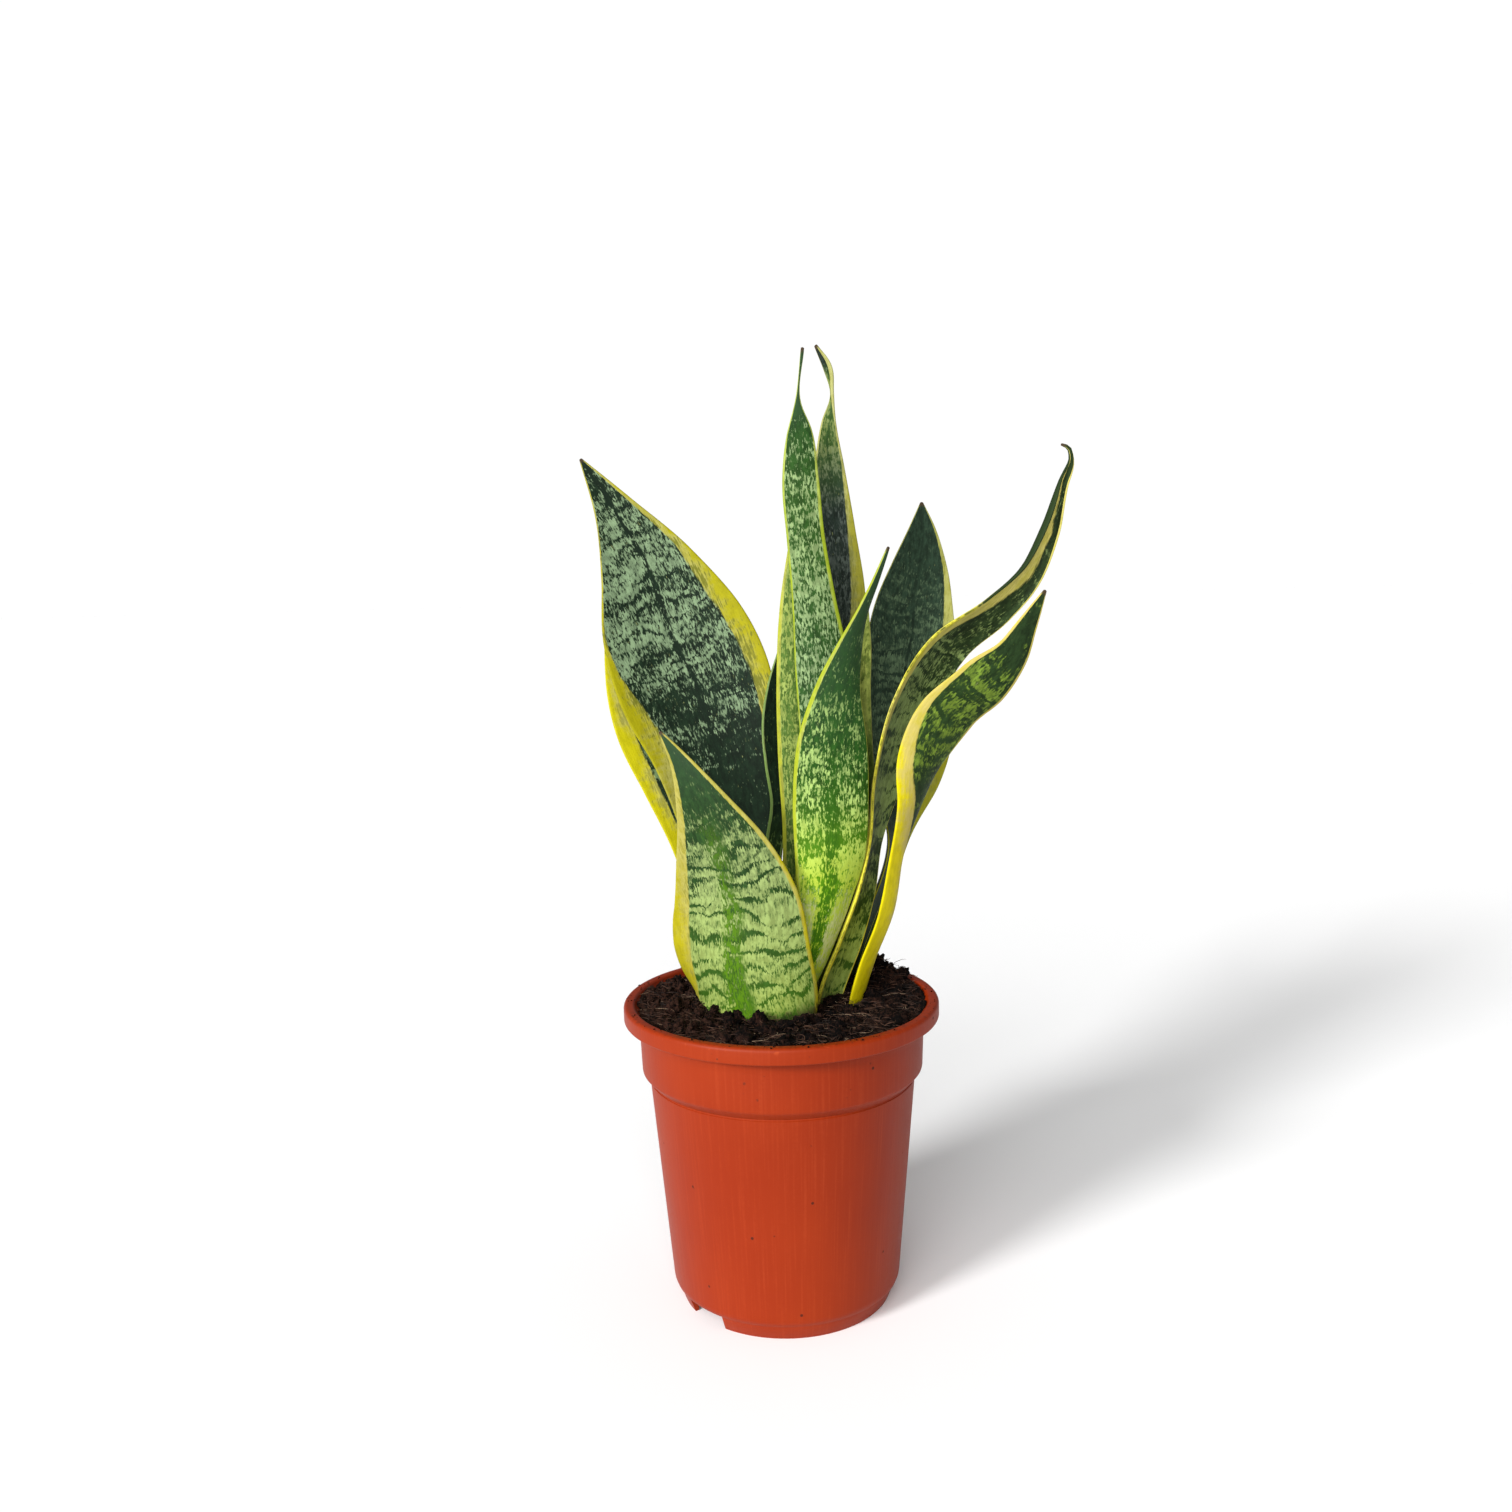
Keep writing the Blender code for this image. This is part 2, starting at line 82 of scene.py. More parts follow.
# one node tree: add makes any node from its settings and the values or links of its sockets
class Recipe:
    def __init__(self, tree):
        self.tree = tree
        tree.nodes.clear()

    def add(self, kind, settings=None, values=None, out=0):
        made = self.tree.nodes.new("ShaderNode" + kind)
        for key, value in (settings or {}).items():
            setattr(made, key, value)
        for key, value in (values or {}).items():
            if isinstance(value, Wire):
                self.tree.links.new(value.socket, made.inputs[key])
            else:
                made.inputs[key].default_value = value
        return Wire(self, made.outputs[out]) if made.outputs else None

    def ownPlace(self):
        return self.add("TexCoord", None, None, out="Object")

    def attribute(self, name):
        vector = self.add("Attribute", {"attribute_name": name}, out="Vector")
        return self.parts(vector)

    def parts(self, vector):
        split = self.add("SeparateXYZ", None, {0: vector})
        node = split.socket.node
        return [Wire(self, socket) for socket in node.outputs]

    def place(self, x, y, z):
        return self.add("CombineXYZ", None, {0: x, 1: y, 2: z})

    def noise(self, place, scale, detail=2.0, rough=0.5):
        values = {"Vector": place, "Scale": scale, "Detail": detail, "Roughness": rough}
        return self.add("TexNoise", {"noise_dimensions": "3D"}, values)

    def ease(self, value, low, high):
        settings = {"interpolation_type": "SMOOTHSTEP"}
        return self.add("MapRange", settings, {"Value": value, "From Min": low, "From Max": high})

    def mix(self, factor, first, second):
        return self.add("Mix", {"data_type": "RGBA"}, {0: factor, 6: first, 7: second}, out=2)

    def bump(self, height, strength, distance):
        return self.add("Bump", None, {"Height": height, "Strength": strength, "Distance": distance})


def newMaterial(name):
    material = bpy.data.materials.new(name)
    material.use_nodes = True
    return material, Recipe(material.node_tree)


def finishSurface(recipe, colour, roughness, normal, fixed):
    values = {"Base Color": colour, "Roughness": roughness, "Normal": normal, **fixed}
    shader = recipe.add("BsdfPrincipled", None, values, out="BSDF")
    recipe.add("OutputMaterial", None, {"Surface": shader})


# a colour from its red, green and blue as a screen shows them
def tint(red, green, blue):
    def channel(value):
        value = value / 255
        return value / 12.92 if value <= 0.04045 else ((value + 0.055) / 1.055) ** 2.4
    return (channel(red), channel(green), channel(blue), 1.0)


def dimmer(colour, factor):
    return tuple(channel * factor for channel in colour[:3]) + (1.0,)


# leaf colours are darkened by this factor to suit the studio's light
leafShade = 0.78


def leafTint(red, green, blue):
    return dimmer(tint(red, green, blue), leafShade)


def newObject(name, data):
    made = bpy.data.objects.new(name, data)
    scene.collection.objects.link(made)
    return made


def meshPiece(name, points, faces, material):
    mesh = bpy.data.meshes.new(name)
    mesh.from_pydata([tuple(p) for p in points], [], faces)
    mesh.validate()
    mesh.shade_smooth()
    mesh.materials.append(material)
    piece = newObject(name, mesh)
    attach(piece, "root")
    return piece


def writeAttribute(piece, name, rows):
    layer = piece.data.attributes.new(name, "FLOAT_VECTOR", "POINT")
    layer.data.foreach_set("vector", np.asarray(rows, np.float32).ravel())


def ringFaces(rings, sides):
    faces = []
    for ring in range(rings - 1):
        for side in range(sides):
            after = (side + 1) % sides
            low = ring * sides
            faces.append((low + side, low + after, low + sides + after, low + sides + side))
    return faces


# shared by every leaf that doesn't say otherwise
leafUsual = {
    "ribLow": 0.0,           # 1 where only the lime part of a leaf shows its rib
    "shine": 0.55,
    "creamFrom": (300, 340), # z in mm from and to which the margins turn from yellow to cream
    "flares": ((0, 0, 1), (1, 0, 1)),
    "rolled": None,
}

# stations: x, y, z in mm, half width, turn and half angle of the section's arc in degrees
# margins: z, width of the left and of the right yellow margin in mm
# flares: z, turn in degrees added to the left edge, stretch of the left half
# tones: z, share of dark green, lime tint or slate tint below zero, cream wash
# rolled: z between which the dark back of the rolled tip comes over the left edge
# band: m from one cross line to the next
leafLooks = {
    "leafTallLeft": {
        "node": "leaf_tall_left", "band": 0.0046, "lines": 0.7, "blocks": 0.9, "flecks": 1.0,
        "rib": 1.1, "ribWidth": 0.0013, "ribTint": (18, 32, 20),
        "pale": (132, 156, 118), "dark": (17, 33, 19),
        "yellow": (160, 154, 12), "cream": (166, 162, 84), "olive": 0.9, "creamFrom": (232, 200),
        "margins": (
            (88, 5, 4), (150, 7, 3), (172, 9, 3.4), (196, 9.4, 5.5), (220, 9.6, 7.2), (234, 8.2, 8.2),
            (248, 3.6, 8.6), (261, 1.2, 8.4), (272, 0.8, 6.8), (283, 0.6, 3.6), (303, 0.5, 1.7),
            (324, 0.3, 0.6)),
        "tones": (
            (88, 1.3, 0.1, 0), (160, 1.2, 0, 0), (185, 1.06, 0, 0), (205, 0.88, 0, 0), (228, 0.7, 0, 0),
            (245, 0.6, 0, 0), (262, 0.47, 0, 0), (290, 0.44, 0, 0), (310, 0.56, 0, 0), (324, 1, 0, 0)),
        "stations": (
            (-10, 4, 88, 6, -10, 50), (-13, 6, 112, 9, -6, 45), (-14, 17, 146, 14.5, 6, 34),
            (-17.5, 21.5, 181, 21.5, 5, 26), (-23, 24, 211, 27, 4, 24), (-31, 27, 235, 31, 5, 22),
            (-40, 31, 258, 28.5, 7, 18), (-50, 36, 282, 19, 9, 14), (-62, 41, 304, 8.5, 10, 10),
            (-75, 45, 324, 0.6, 10, 5)),
    },
    "leafBehindLeft": {
        "node": "leaf_behind_left", "band": 0.0046, "lines": 0.2, "blocks": 1.0, "flecks": 1.0,
        "rib": 0.4, "ribWidth": 0.0012, "ribTint": (26, 40, 28),
        "pale": (118, 142, 96), "dark": (28, 46, 30),
        "yellow": (196, 188, 16), "cream": (196, 190, 100), "olive": 0.5,
        "margins": (
            (84, 4, 3), (150, 5.5, 3), (190, 6.5, 3.5), (221, 7.5, 4), (250, 4, 3), (282, 0.5, 0.5)),
        "tones": ((84, 0.8, 0.1, 0), (180, 0.7, 0, 0), (240, 0.58, 0, 0), (282, 0.8, 0, 0)),
        "stations": (
            (-16, 20, 84, 6, 10, 50), (-18, 23, 112, 9, 10, 40), (-21, 27, 145, 14, 8, 30),
            (-25.5, 31, 173, 18, 6, 24), (-33, 36, 198, 22, 6, 20), (-42, 40, 221, 23.5, 6, 18),
            (-50, 45, 245, 19.5, 6, 14), (-59, 49, 266, 10, 6, 10), (-67, 52, 282, 0.6, 6, 5)),
    },
    "leafFront": {
        "node": "leaf_front", "band": 0.0066, "lines": 1.5, "blocks": 0.25, "flecks": 0.5,
        "rib": 1.0, "ribWidth": 0.0046, "ribLow": 0.55, "ribTint": (88, 130, 14),
        "pale": (150, 170, 104), "dark": (32, 58, 24),
        "yellow": (174, 164, 22), "cream": (174, 166, 84), "olive": 0.4, "creamFrom": (120, 200),
        "margins": (
            (84, 8, 2.2), (112, 9.5, 2), (125, 9.5, 1.9), (140, 8.6, 1.9), (157, 6.6, 1.8), (177, 4.4, 1.8),
            (194, 2.8, 1.5), (210, 1.3, 1), (220, 0.5, 0.5)),
        "flares": (
            (84, 34, 1.16), (108, 34, 1.16), (118, 24, 1.12), (128, -6, 1.04), (140, -38, 1), (157, -46, 1),
            (177, -44, 1), (194, -34, 1), (210, -16, 1), (220, 0, 1)),
        "tones": (
            (84, 0.48, 0.55, 0), (112, 0.46, 0.38, 0), (128, 0.38, 0.2, 0), (150, 0.31, 0.1, 0),
            (166, 0.37, 0.02, 0), (176, 0.46, 0, 0), (184, 0.62, -0.02, 0), (196, 0.8, -0.06, 0),
            (208, 0.95, -0.16, 0), (220, 1.1, -0.2, 0)),
        "stations": (
            (-8, -9, 84, 9, -24, -70), (-6, -4, 99, 22, -24, -68), (-7.5, -3.5, 114, 28.5, -24, -60),
            (-13, -5, 136, 29.5, -21, -46), (-15, -8, 157, 25.5, -18, -36),
            (-20.5, -11, 177, 18.5, -18, -28), (-27.5, -13, 194, 10.5, -20, -20),
            (-35.5, -13, 210, 3.8, -18, -12), (-42, -12, 220, 0.6, -10, -5)),
    },
    "leafTallCentre": {
        "node": "leaf_tall_centre", "band": 0.0052, "lines": 0.2, "blocks": 0.6, "flecks": 1.2,
        "rib": 0.25, "ribWidth": 0.0012, "ribTint": (46, 72, 32),
        "pale": (144, 170, 116), "dark": (34, 66, 24),
        "yellow": (150, 168, 40), "cream": (172, 186, 90), "olive": 0.4,
        "margins": (
            (88, 1.5, 1.5), (150, 1, 1.5), (212, 0.8, 1.6), (268, 0.8, 1.7), (300, 0.9, 1.5),
            (318, 0.9, 0.9), (328, 0.5, 0.5), (357, 0.05, 0.05)),
        "tones": (
            (88, 0.7, 0.3, 0), (150, 0.62, 0.2, 0), (200, 0.6, 0.05, 0), (245, 0.55, 0, 0),
            (280, 0.5, 0.05, 0), (304, 0.56, 0.06, 0), (328, 0.9, 0, 0), (338, 1.2, -0.2, 0)),
        "stations": (
            (5, 6, 88, 4.5, 8, -30), (6, 6.5, 112, 6.5, 6, -28), (12, 6, 145, 8, 4, -24),
            (17, 5.5, 178, 9, 2, -22), (19, 6, 212, 9.8, 4, -20), (18, 7, 244, 10.2, 0, -18),
            (15.5, 7, 268, 8.2, 0, -16), (13, 7, 290, 7.2, 6, -12), (11.5, 6, 311, 6.8, 0, -10),
            (11.5, 4, 328, 4.6, 0, -8), (11, 2.5, 338, 1.2, 0, -4), (13, 0, 357, 0.6, 0, 0)),
    },
    "leafCentreBack": {
        "node": "leaf_centre_back", "band": 0.0052, "lines": 0.3, "blocks": 0.4, "flecks": 1.2,
        "rib": 0.2, "ribWidth": 0.001, "ribTint": (74, 96, 40),
        "pale": (154, 172, 92), "dark": (70, 94, 40),
        "yellow": (170, 174, 50), "cream": (180, 184, 90), "olive": 0.5,
        "margins": ((88, 1.5, 1.5), (200, 1.6, 1.4), (260, 1.4, 1.2), (303, 0.4, 0.4)),
        "tones": ((88, 0.7, 0.2, 0), (180, 0.6, 0.1, 0), (220, 0.48, 0.1, 0), (303, 0.46, 0.1, 0)),
        "stations": (
            (1, 17, 88, 4.5, 6, -30), (3, 17, 112, 6, 6, -26), (6.5, 15.5, 144, 6.2, 8, -20),
            (8.5, 14, 176, 6.6, 8, -16), (8, 13.5, 207, 7.2, 8, -14), (8, 13.5, 234, 7.2, 8, -12),
            (9, 14, 266, 6, 8, -10), (10, 14.5, 287, 3.4, 4, -8), (10, 15, 303, 0.6, 0, 0)),
    },
    "leafTallBack": {
        "node": "leaf_tall_back", "band": 0.0046, "lines": 0.3, "blocks": 0.8, "flecks": 0.9,
        "rib": 0.4, "ribWidth": 0.0008, "ribTint": (24, 36, 24), "pale": (82, 92, 84), "dark": (30, 40, 34),
        "yellow": (158, 154, 50), "cream": (172, 172, 108), "olive": 0.55,
        "margins": (
            (84, 2, 4), (200, 1.3, 7.6), (236, 1.1, 7.4), (265, 0.9, 6.2), (293, 0.7, 3.2), (318, 0.6, 1),
            (334, 0.5, 0.6), (345, 0.3, 1.2), (355, 0.3, 1.8), (364, 0.2, 0.3)),
        "tones": (
            (84, 0.8, 0.1, 0), (200, 0.7, 0, 0), (260, 0.58, 0, 0), (300, 0.6, 0, 0), (335, 0.5, 0.25, 0),
            (350, 0.3, 0.3, 0), (358, 0.9, 0, 0), (364, 1.2, 0, 0)),
        "stations": (
            (8, 24, 84, 5, 8, 34), (10, 25, 112, 6, 10, 30), (16, 26.5, 150, 6.6, 14, 26),
            (24, 29, 204, 7.6, 14, 22), (26.5, 30, 236, 8.6, 12, 22), (28, 31, 265, 9.3, 12, 20),
            (26, 32, 293, 7.6, 14, 20), (23.5, 33, 318, 5.9, 10, 18), (23.5, 34, 334, 3, 0, 12),
            (25, 35, 346, 0.8, -30, 5), (23.5, 35, 355, 2.1, -40, 20), (19, 36, 364, 0.7, -40, 5)),
    },
    "leafInnerLeft": {
        "node": "leaf_inner_left", "band": 0.005, "lines": 0.3, "blocks": 0.6, "flecks": 0.9,
        "rib": 0.2, "ribWidth": 0.0008, "ribTint": (22, 36, 24),
        "pale": (104, 130, 72), "dark": (22, 37, 22),
        "yellow": (112, 138, 70), "cream": (134, 156, 96), "olive": 0.4,
        "margins": ((90, 1, 0.7), (171, 0.9, 0.7), (203, 0.8, 0.7), (249, 0.3, 0.3)),
        "tones": ((90, 0.5, 0.2, 0), (165, 0.55, 0.1, 0), (185, 0.95, 0, 0), (249, 1, 0, 0)),
        "stations": (
            (0, 11, 90, 2.4, 10, 24), (0.5, 10.5, 112, 2.6, 12, 24), (0, 10, 129, 2.6, 12, 24),
            (-2.5, 12, 147, 3, 14, 24), (-1.5, 16, 171, 3.6, 16, 20), (2, 17.5, 188, 4.8, 22, 20),
            (1.5, 19.5, 203, 6.4, 26, 20), (0.5, 20, 220, 6.2, 28, 18), (1, 21, 233, 4.2, 28, 12),
            (3, 21, 249, 0.6, 20, 0)),
    },
    "leafFrontCentre": {
        "node": "leaf_front_centre", "band": 0.0056, "lines": 0.45, "blocks": 0.65, "flecks": 1.15,
        "rib": 0.8, "ribWidth": 0.0030, "ribLow": 0.3, "ribTint": (40, 84, 10),
        "pale": (168, 198, 112), "dark": (32, 70, 16),
        "yellow": (164, 176, 40), "cream": (182, 190, 92), "olive": 0.4,
        "margins": (
            (89, 1.1, 0.6), (133, 1.2, 0.5), (165, 1.3, 0.45), (194, 1.6, 0.45), (215, 1.6, 0.45),
            (234, 1.5, 0.5), (262, 0.6, 0.4), (285, 0.15, 0.15)),
        "tones": (
            (89, 0.3, 1.1, 0.15), (122, 0.34, 1.1, 0.22), (142, 0.38, 0.9, 0.5), (152, 0.42, 0.8, 0.42),
            (162, 0.36, 0.8, 0.14), (176, 0.46, 0.5, 0), (192, 0.56, 0.12, 0), (205, 0.64, 0, 0),
            (218, 0.7, -0.06, 0), (234, 0.8, -0.14, 0), (250, 0.92, -0.22, 0), (285, 1.2, -0.28, 0)),
        "stations": (
            (1, -2, 89, 6, 20, -52), (2.2, -1, 112, 8.8, 24, -46), (10.5, -2, 133, 10, 24, -40),
            (16.3, -4, 152, 11.2, 18, -32), (19.5, -7, 172, 13.8, 8, -26), (20, -9, 194, 14.4, 4, -22),
            (21, -10, 215, 13.2, 9, -20), (23.5, -9, 234, 9.2, 21, -18), (28, -7, 249, 5.9, 37, -16),
            (33, -4.5, 262, 2.9, 46, -12), (38, -3, 273, 1.7, 44, -8), (43, -2, 285, 0.6, 30, 0)),
    },
    "leafSmallCentre": {
        "node": "leaf_small_centre", "band": 0.006, "lines": 0.1, "blocks": 0.4, "flecks": 0.4,
        "rib": 0.2, "ribWidth": 0.0008, "ribTint": (60, 78, 30),
        "pale": (158, 170, 84), "dark": (84, 98, 40),
        "yellow": (146, 150, 70), "cream": (170, 170, 96), "olive": 0.4,
        "margins": ((88, 0.1, 0.05), (190, 0.5, 0.05), (206, 0.6, 0.25), (248, 0.5, 0.4), (263, 0.3, 0.3)),
        "tones": (
            (88, 1.3, -0.1, 0), (190, 1.2, 0, 0), (204, 0.7, 0.05, 0), (222, 0.4, 0.05, 0),
            (263, 0.4, 0.05, 0)),
        "stations": (
            (16, 16, 88, 3.2, 10, 24), (18, 16.5, 112, 4.2, 12, 24), (26, 16, 150, 5.6, 14, 20),
            (32.6, 14.5, 186, 6.4, 14, 16), (32.6, 13.5, 208, 5.2, 14, 14), (33, 13.5, 232, 4.2, 14, 12),
            (34.5, 13.5, 248, 3.1, 16, 8), (36, 14, 263, 0.6, 10, 0)),
    },
    "leafBackRight": {
        "node": "leaf_back_right", "band": 0.0043, "lines": 1.7, "blocks": 0.35, "flecks": 0.4,
        "rib": 0.6, "ribWidth": 0.0008, "ribTint": (20, 31, 22),
        "pale": (92, 114, 84), "dark": (35, 52, 38),
        "yellow": (160, 158, 40), "cream": (170, 170, 96), "olive": 0.45, "creamFrom": (190, 250),
        "margins": (
            (84, 0.1, 2), (168, 0.1, 3), (192, 0.1, 5.6), (216, 0.1, 8.4), (240, 0.1, 7), (260, 0.1, 4.4),
            (277, 0.15, 2.2), (292, 0.2, 1.1), (304, 0.2, 0.3)),
        "tones": (
            (84, 0.95, 0.1, 0), (170, 0.8, 0, 0), (200, 0.54, 0, 0), (240, 0.5, 0, 0), (268, 0.62, 0, 0),
            (304, 1, 0, 0)),
        "stations": (
            (24, 26, 84, 7, 10, 50), (28, 28, 112, 9, 26, 44), (40, 30, 141, 8, 52, 36),
            (48.3, 31, 168, 8.6, 58, 30), (51.4, 34, 192, 17.2, 30, 26), (53.6, 38, 216, 21.6, 20, 24),
            (55, 41, 240, 20.2, 16, 22), (57, 44, 260, 17.5, 15, 18), (59.6, 46, 277, 12.7, 16, 14),
            (61, 48, 292, 6.6, 16, 10), (61, 50, 304, 0.6, 10, 0)),
    },
    "leafCurlyRight": {
        "node": "leaf_curly_right", "band": 0.0066, "lines": 1.0, "blocks": 0.9, "flecks": 0.7,
        "rib": 0.3, "ribWidth": 0.0009, "ribTint": (30, 44, 24), "shine": 0.6,
        "pale": (138, 160, 94), "dark": (40, 56, 28),
        "yellow": (226, 216, 66), "cream": (224, 212, 116), "olive": 0.22, "creamFrom": (175, 225),
        "rolled": (256, 282),
        "margins": (
            (90, 1.4, 0.6), (130, 2.2, 0.6), (160, 3, 0.5), (185, 3, 0.4), (205, 3, 0.2), (226, 3.8, 0.2),
            (246, 5.2, 0.2), (260, 7.8, 0.25), (273, 10.8, 0.35), (289, 10.2, 0.45), (304, 5.4, 0.4),
            (312, 0.6, 0.3), (321, 0.1, 0.1)),
        "tones": (
            (90, 0.3, 0.3, 0), (135, 0.26, 0.2, 0), (160, 0.54, 0.05, 0), (190, 0.28, 0.08, 0),
            (226, 0.3, 0.05, 0), (246, 0.54, 0, 0), (268, 0.88, 0, 0), (318, 1, 0, 0)),
        "stations": (
            (18, 5.5, 90, 5, 40, 40), (19, 5, 112, 7.5, 44, 42), (27.4, 5, 135, 8.4, 50, 40),
            (33.3, 4.5, 153, 9.4, 62, 34), (37.6, 4.5, 174, 10.6, 72, 30), (43, 5, 198, 12.4, 56, 32),
            (52.1, 2, 226.3, 13.1, 42, 34), (65.2, -1, 247.7, 10.9, 32, 40), (82.4, -3, 260.6, 8.8, 34, 52),
            (95, -3, 273, 7.6, 38, 74), (103, -2, 289, 6.6, 42, 100), (108, 1, 307, 3.2, 40, 90),
            (110.6, 3, 316.5, 1, 20, 20), (109.6, 3, 319.6, 0.8, 20, 10), (107, 3, 320.8, 0.5, 20, 5)),
    },
    "leafFrontRight": {
        "node": "leaf_front_right", "band": 0.0074, "lines": 1.3, "blocks": 0.9, "flecks": 0.55,
        "rib": 0.2, "ribWidth": 0.001, "ribTint": (32, 50, 24), "shine": 0.6,
        "pale": (118, 146, 52), "dark": (32, 50, 24),
        "yellow": (222, 206, 10), "cream": (198, 182, 98), "olive": 0.12, "creamFrom": (158, 190),
        "margins": (
            (88, 16, 0.6), (150, 18, 0.5), (168, 14, 0.4), (180, 10, 0.4), (192, 8, 0.4), (209, 6, 0.7),
            (220, 4, 1.3), (230, 2, 1.4), (244, 1, 1.2), (256, 0.7, 0.8), (268, 0.3, 0.3)),
        "tones": (
            (88, 0.7, 0.1, 0), (172, 0.9, 0, 0), (186, 0.64, 0, 0), (205, 0.5, 0.03, 0),
            (232, 0.54, 0.03, 0), (246, 0.72, 0, 0), (268, 1, 0, 0)),
        "stations": (
            (26.5, 8, 88, 5.5, 84, -50), (27, 8, 112, 9, 82, -52), (31.5, 6, 129, 10.5, 80, -46),
            (39, 2.5, 150, 11.8, 80, -40), (43.5, 0, 170, 11, 76, -30), (50, -5, 192, 10.8, 55, -26),
            (54, -9, 209, 11.8, 30, -24), (63.4, -12, 225, 12.3, 18, -20), (75, -15, 235.2, 11, 14, -18),
            (85, -16, 245.2, 7.3, 16, -14), (90.5, -17, 255.4, 4.2, 14, -8), (97, -18, 268, 0.6, 0, 0)),
    },
}

leafMake = {
    "ringSpacing": 1.8,      # mm along the leaf
    "across": 26,            # strips on each face
    "middleThickness": 2.6,
    "marginThickness": 0.9,
    "tipThickness": 0.9,
    "thinnest": 0.28,        # half width where the tip closes
    "flareStart": 0.35,      # share of the half width where a flare begins
    "leastArc": 0.02,        # half angle of a section that is as good as flat
    "ripple": 0.22,          # mm of gentle unevenness
    "waveWide": 9.0,         # mm from one ripple to the next, across and along
    "waveLong": 22.0,
}


# a smooth curve through the rows, in even steps of about the spacing, and how far along it each step is
def smoothRows(rows, spacing):
    rows = np.array(rows, float)
    steps = np.linalg.norm(np.diff(rows[:, :3], axis=0), axis=1)
    along = np.concatenate([[0.0], np.cumsum(steps)])
    slopes = np.gradient(rows, along, axis=0)
    count = max(2, round(along[-1] / spacing)) + 1
    places = np.linspace(0.0, along[-1], count)
    result = []
    for place in places:
        i = min(np.searchsorted(along, place, side="right") - 1, len(rows) - 2)
        span = along[i + 1] - along[i]
        t = (place - along[i]) / span
        start = (1 + 2 * t) * (1 - t) ** 2 * rows[i] + t * (1 - t) ** 2 * span * slopes[i]
        end = t * t * (3 - 2 * t) * rows[i + 1] + t * t * (t - 1) * span * slopes[i + 1]
        result.append(start + end)
    return np.array(result), places


def unit(vector):
    return vector / np.linalg.norm(vector)


# one section: for each strip, its place across, the turn of its surface, and its place in the section
def sectionShape(halfWidth, arc, flare, stretch):
    strips = leafMake["across"]
    radius = halfWidth / arc
    across = [math.sin(math.pi / 2 * (2.0 * step / strips - 1.0)) for step in range(strips + 1)]
    turns, wide, deep = [], [], []
    for place in across:
        left = min(1.0, max(0.0, (-place - leafMake["flareStart"]) / (1.0 - leafMake["flareStart"])))
        turns.append(place * arc + flare * left * left * (3 - 2 * left))
        wide.append(radius * math.sin(place * arc))
        deep.append(radius * (math.cos(place * arc) - math.cos(arc)))
    if flare or stretch != 1:
        middle = strips // 2
        goal = wide[0] * stretch
        w, d = wide[middle], deep[middle]
        path = []
        for step in range(middle - 1, -1, -1):
            stride = (across[step] - across[step + 1]) * halfWidth
            turn = (turns[step] + turns[step + 1]) / 2
            w += math.cos(turn) * stride
            d -= math.sin(turn) * stride
            path.append((step, w, d))
        scale = (goal - wide[middle]) / (w - wide[middle])
        for step, w, d in path:
            wide[step] = wide[middle] + (w - wide[middle]) * scale
            deep[step] = deep[middle] + (d - deep[middle]) * scale
    return across, turns, wide, deep


# the columns of a table at one height
def tableAt(table, height):
    table = np.array(table, float)
    return [np.interp(height, table[:, 0], column) for column in table[:, 1:].T]


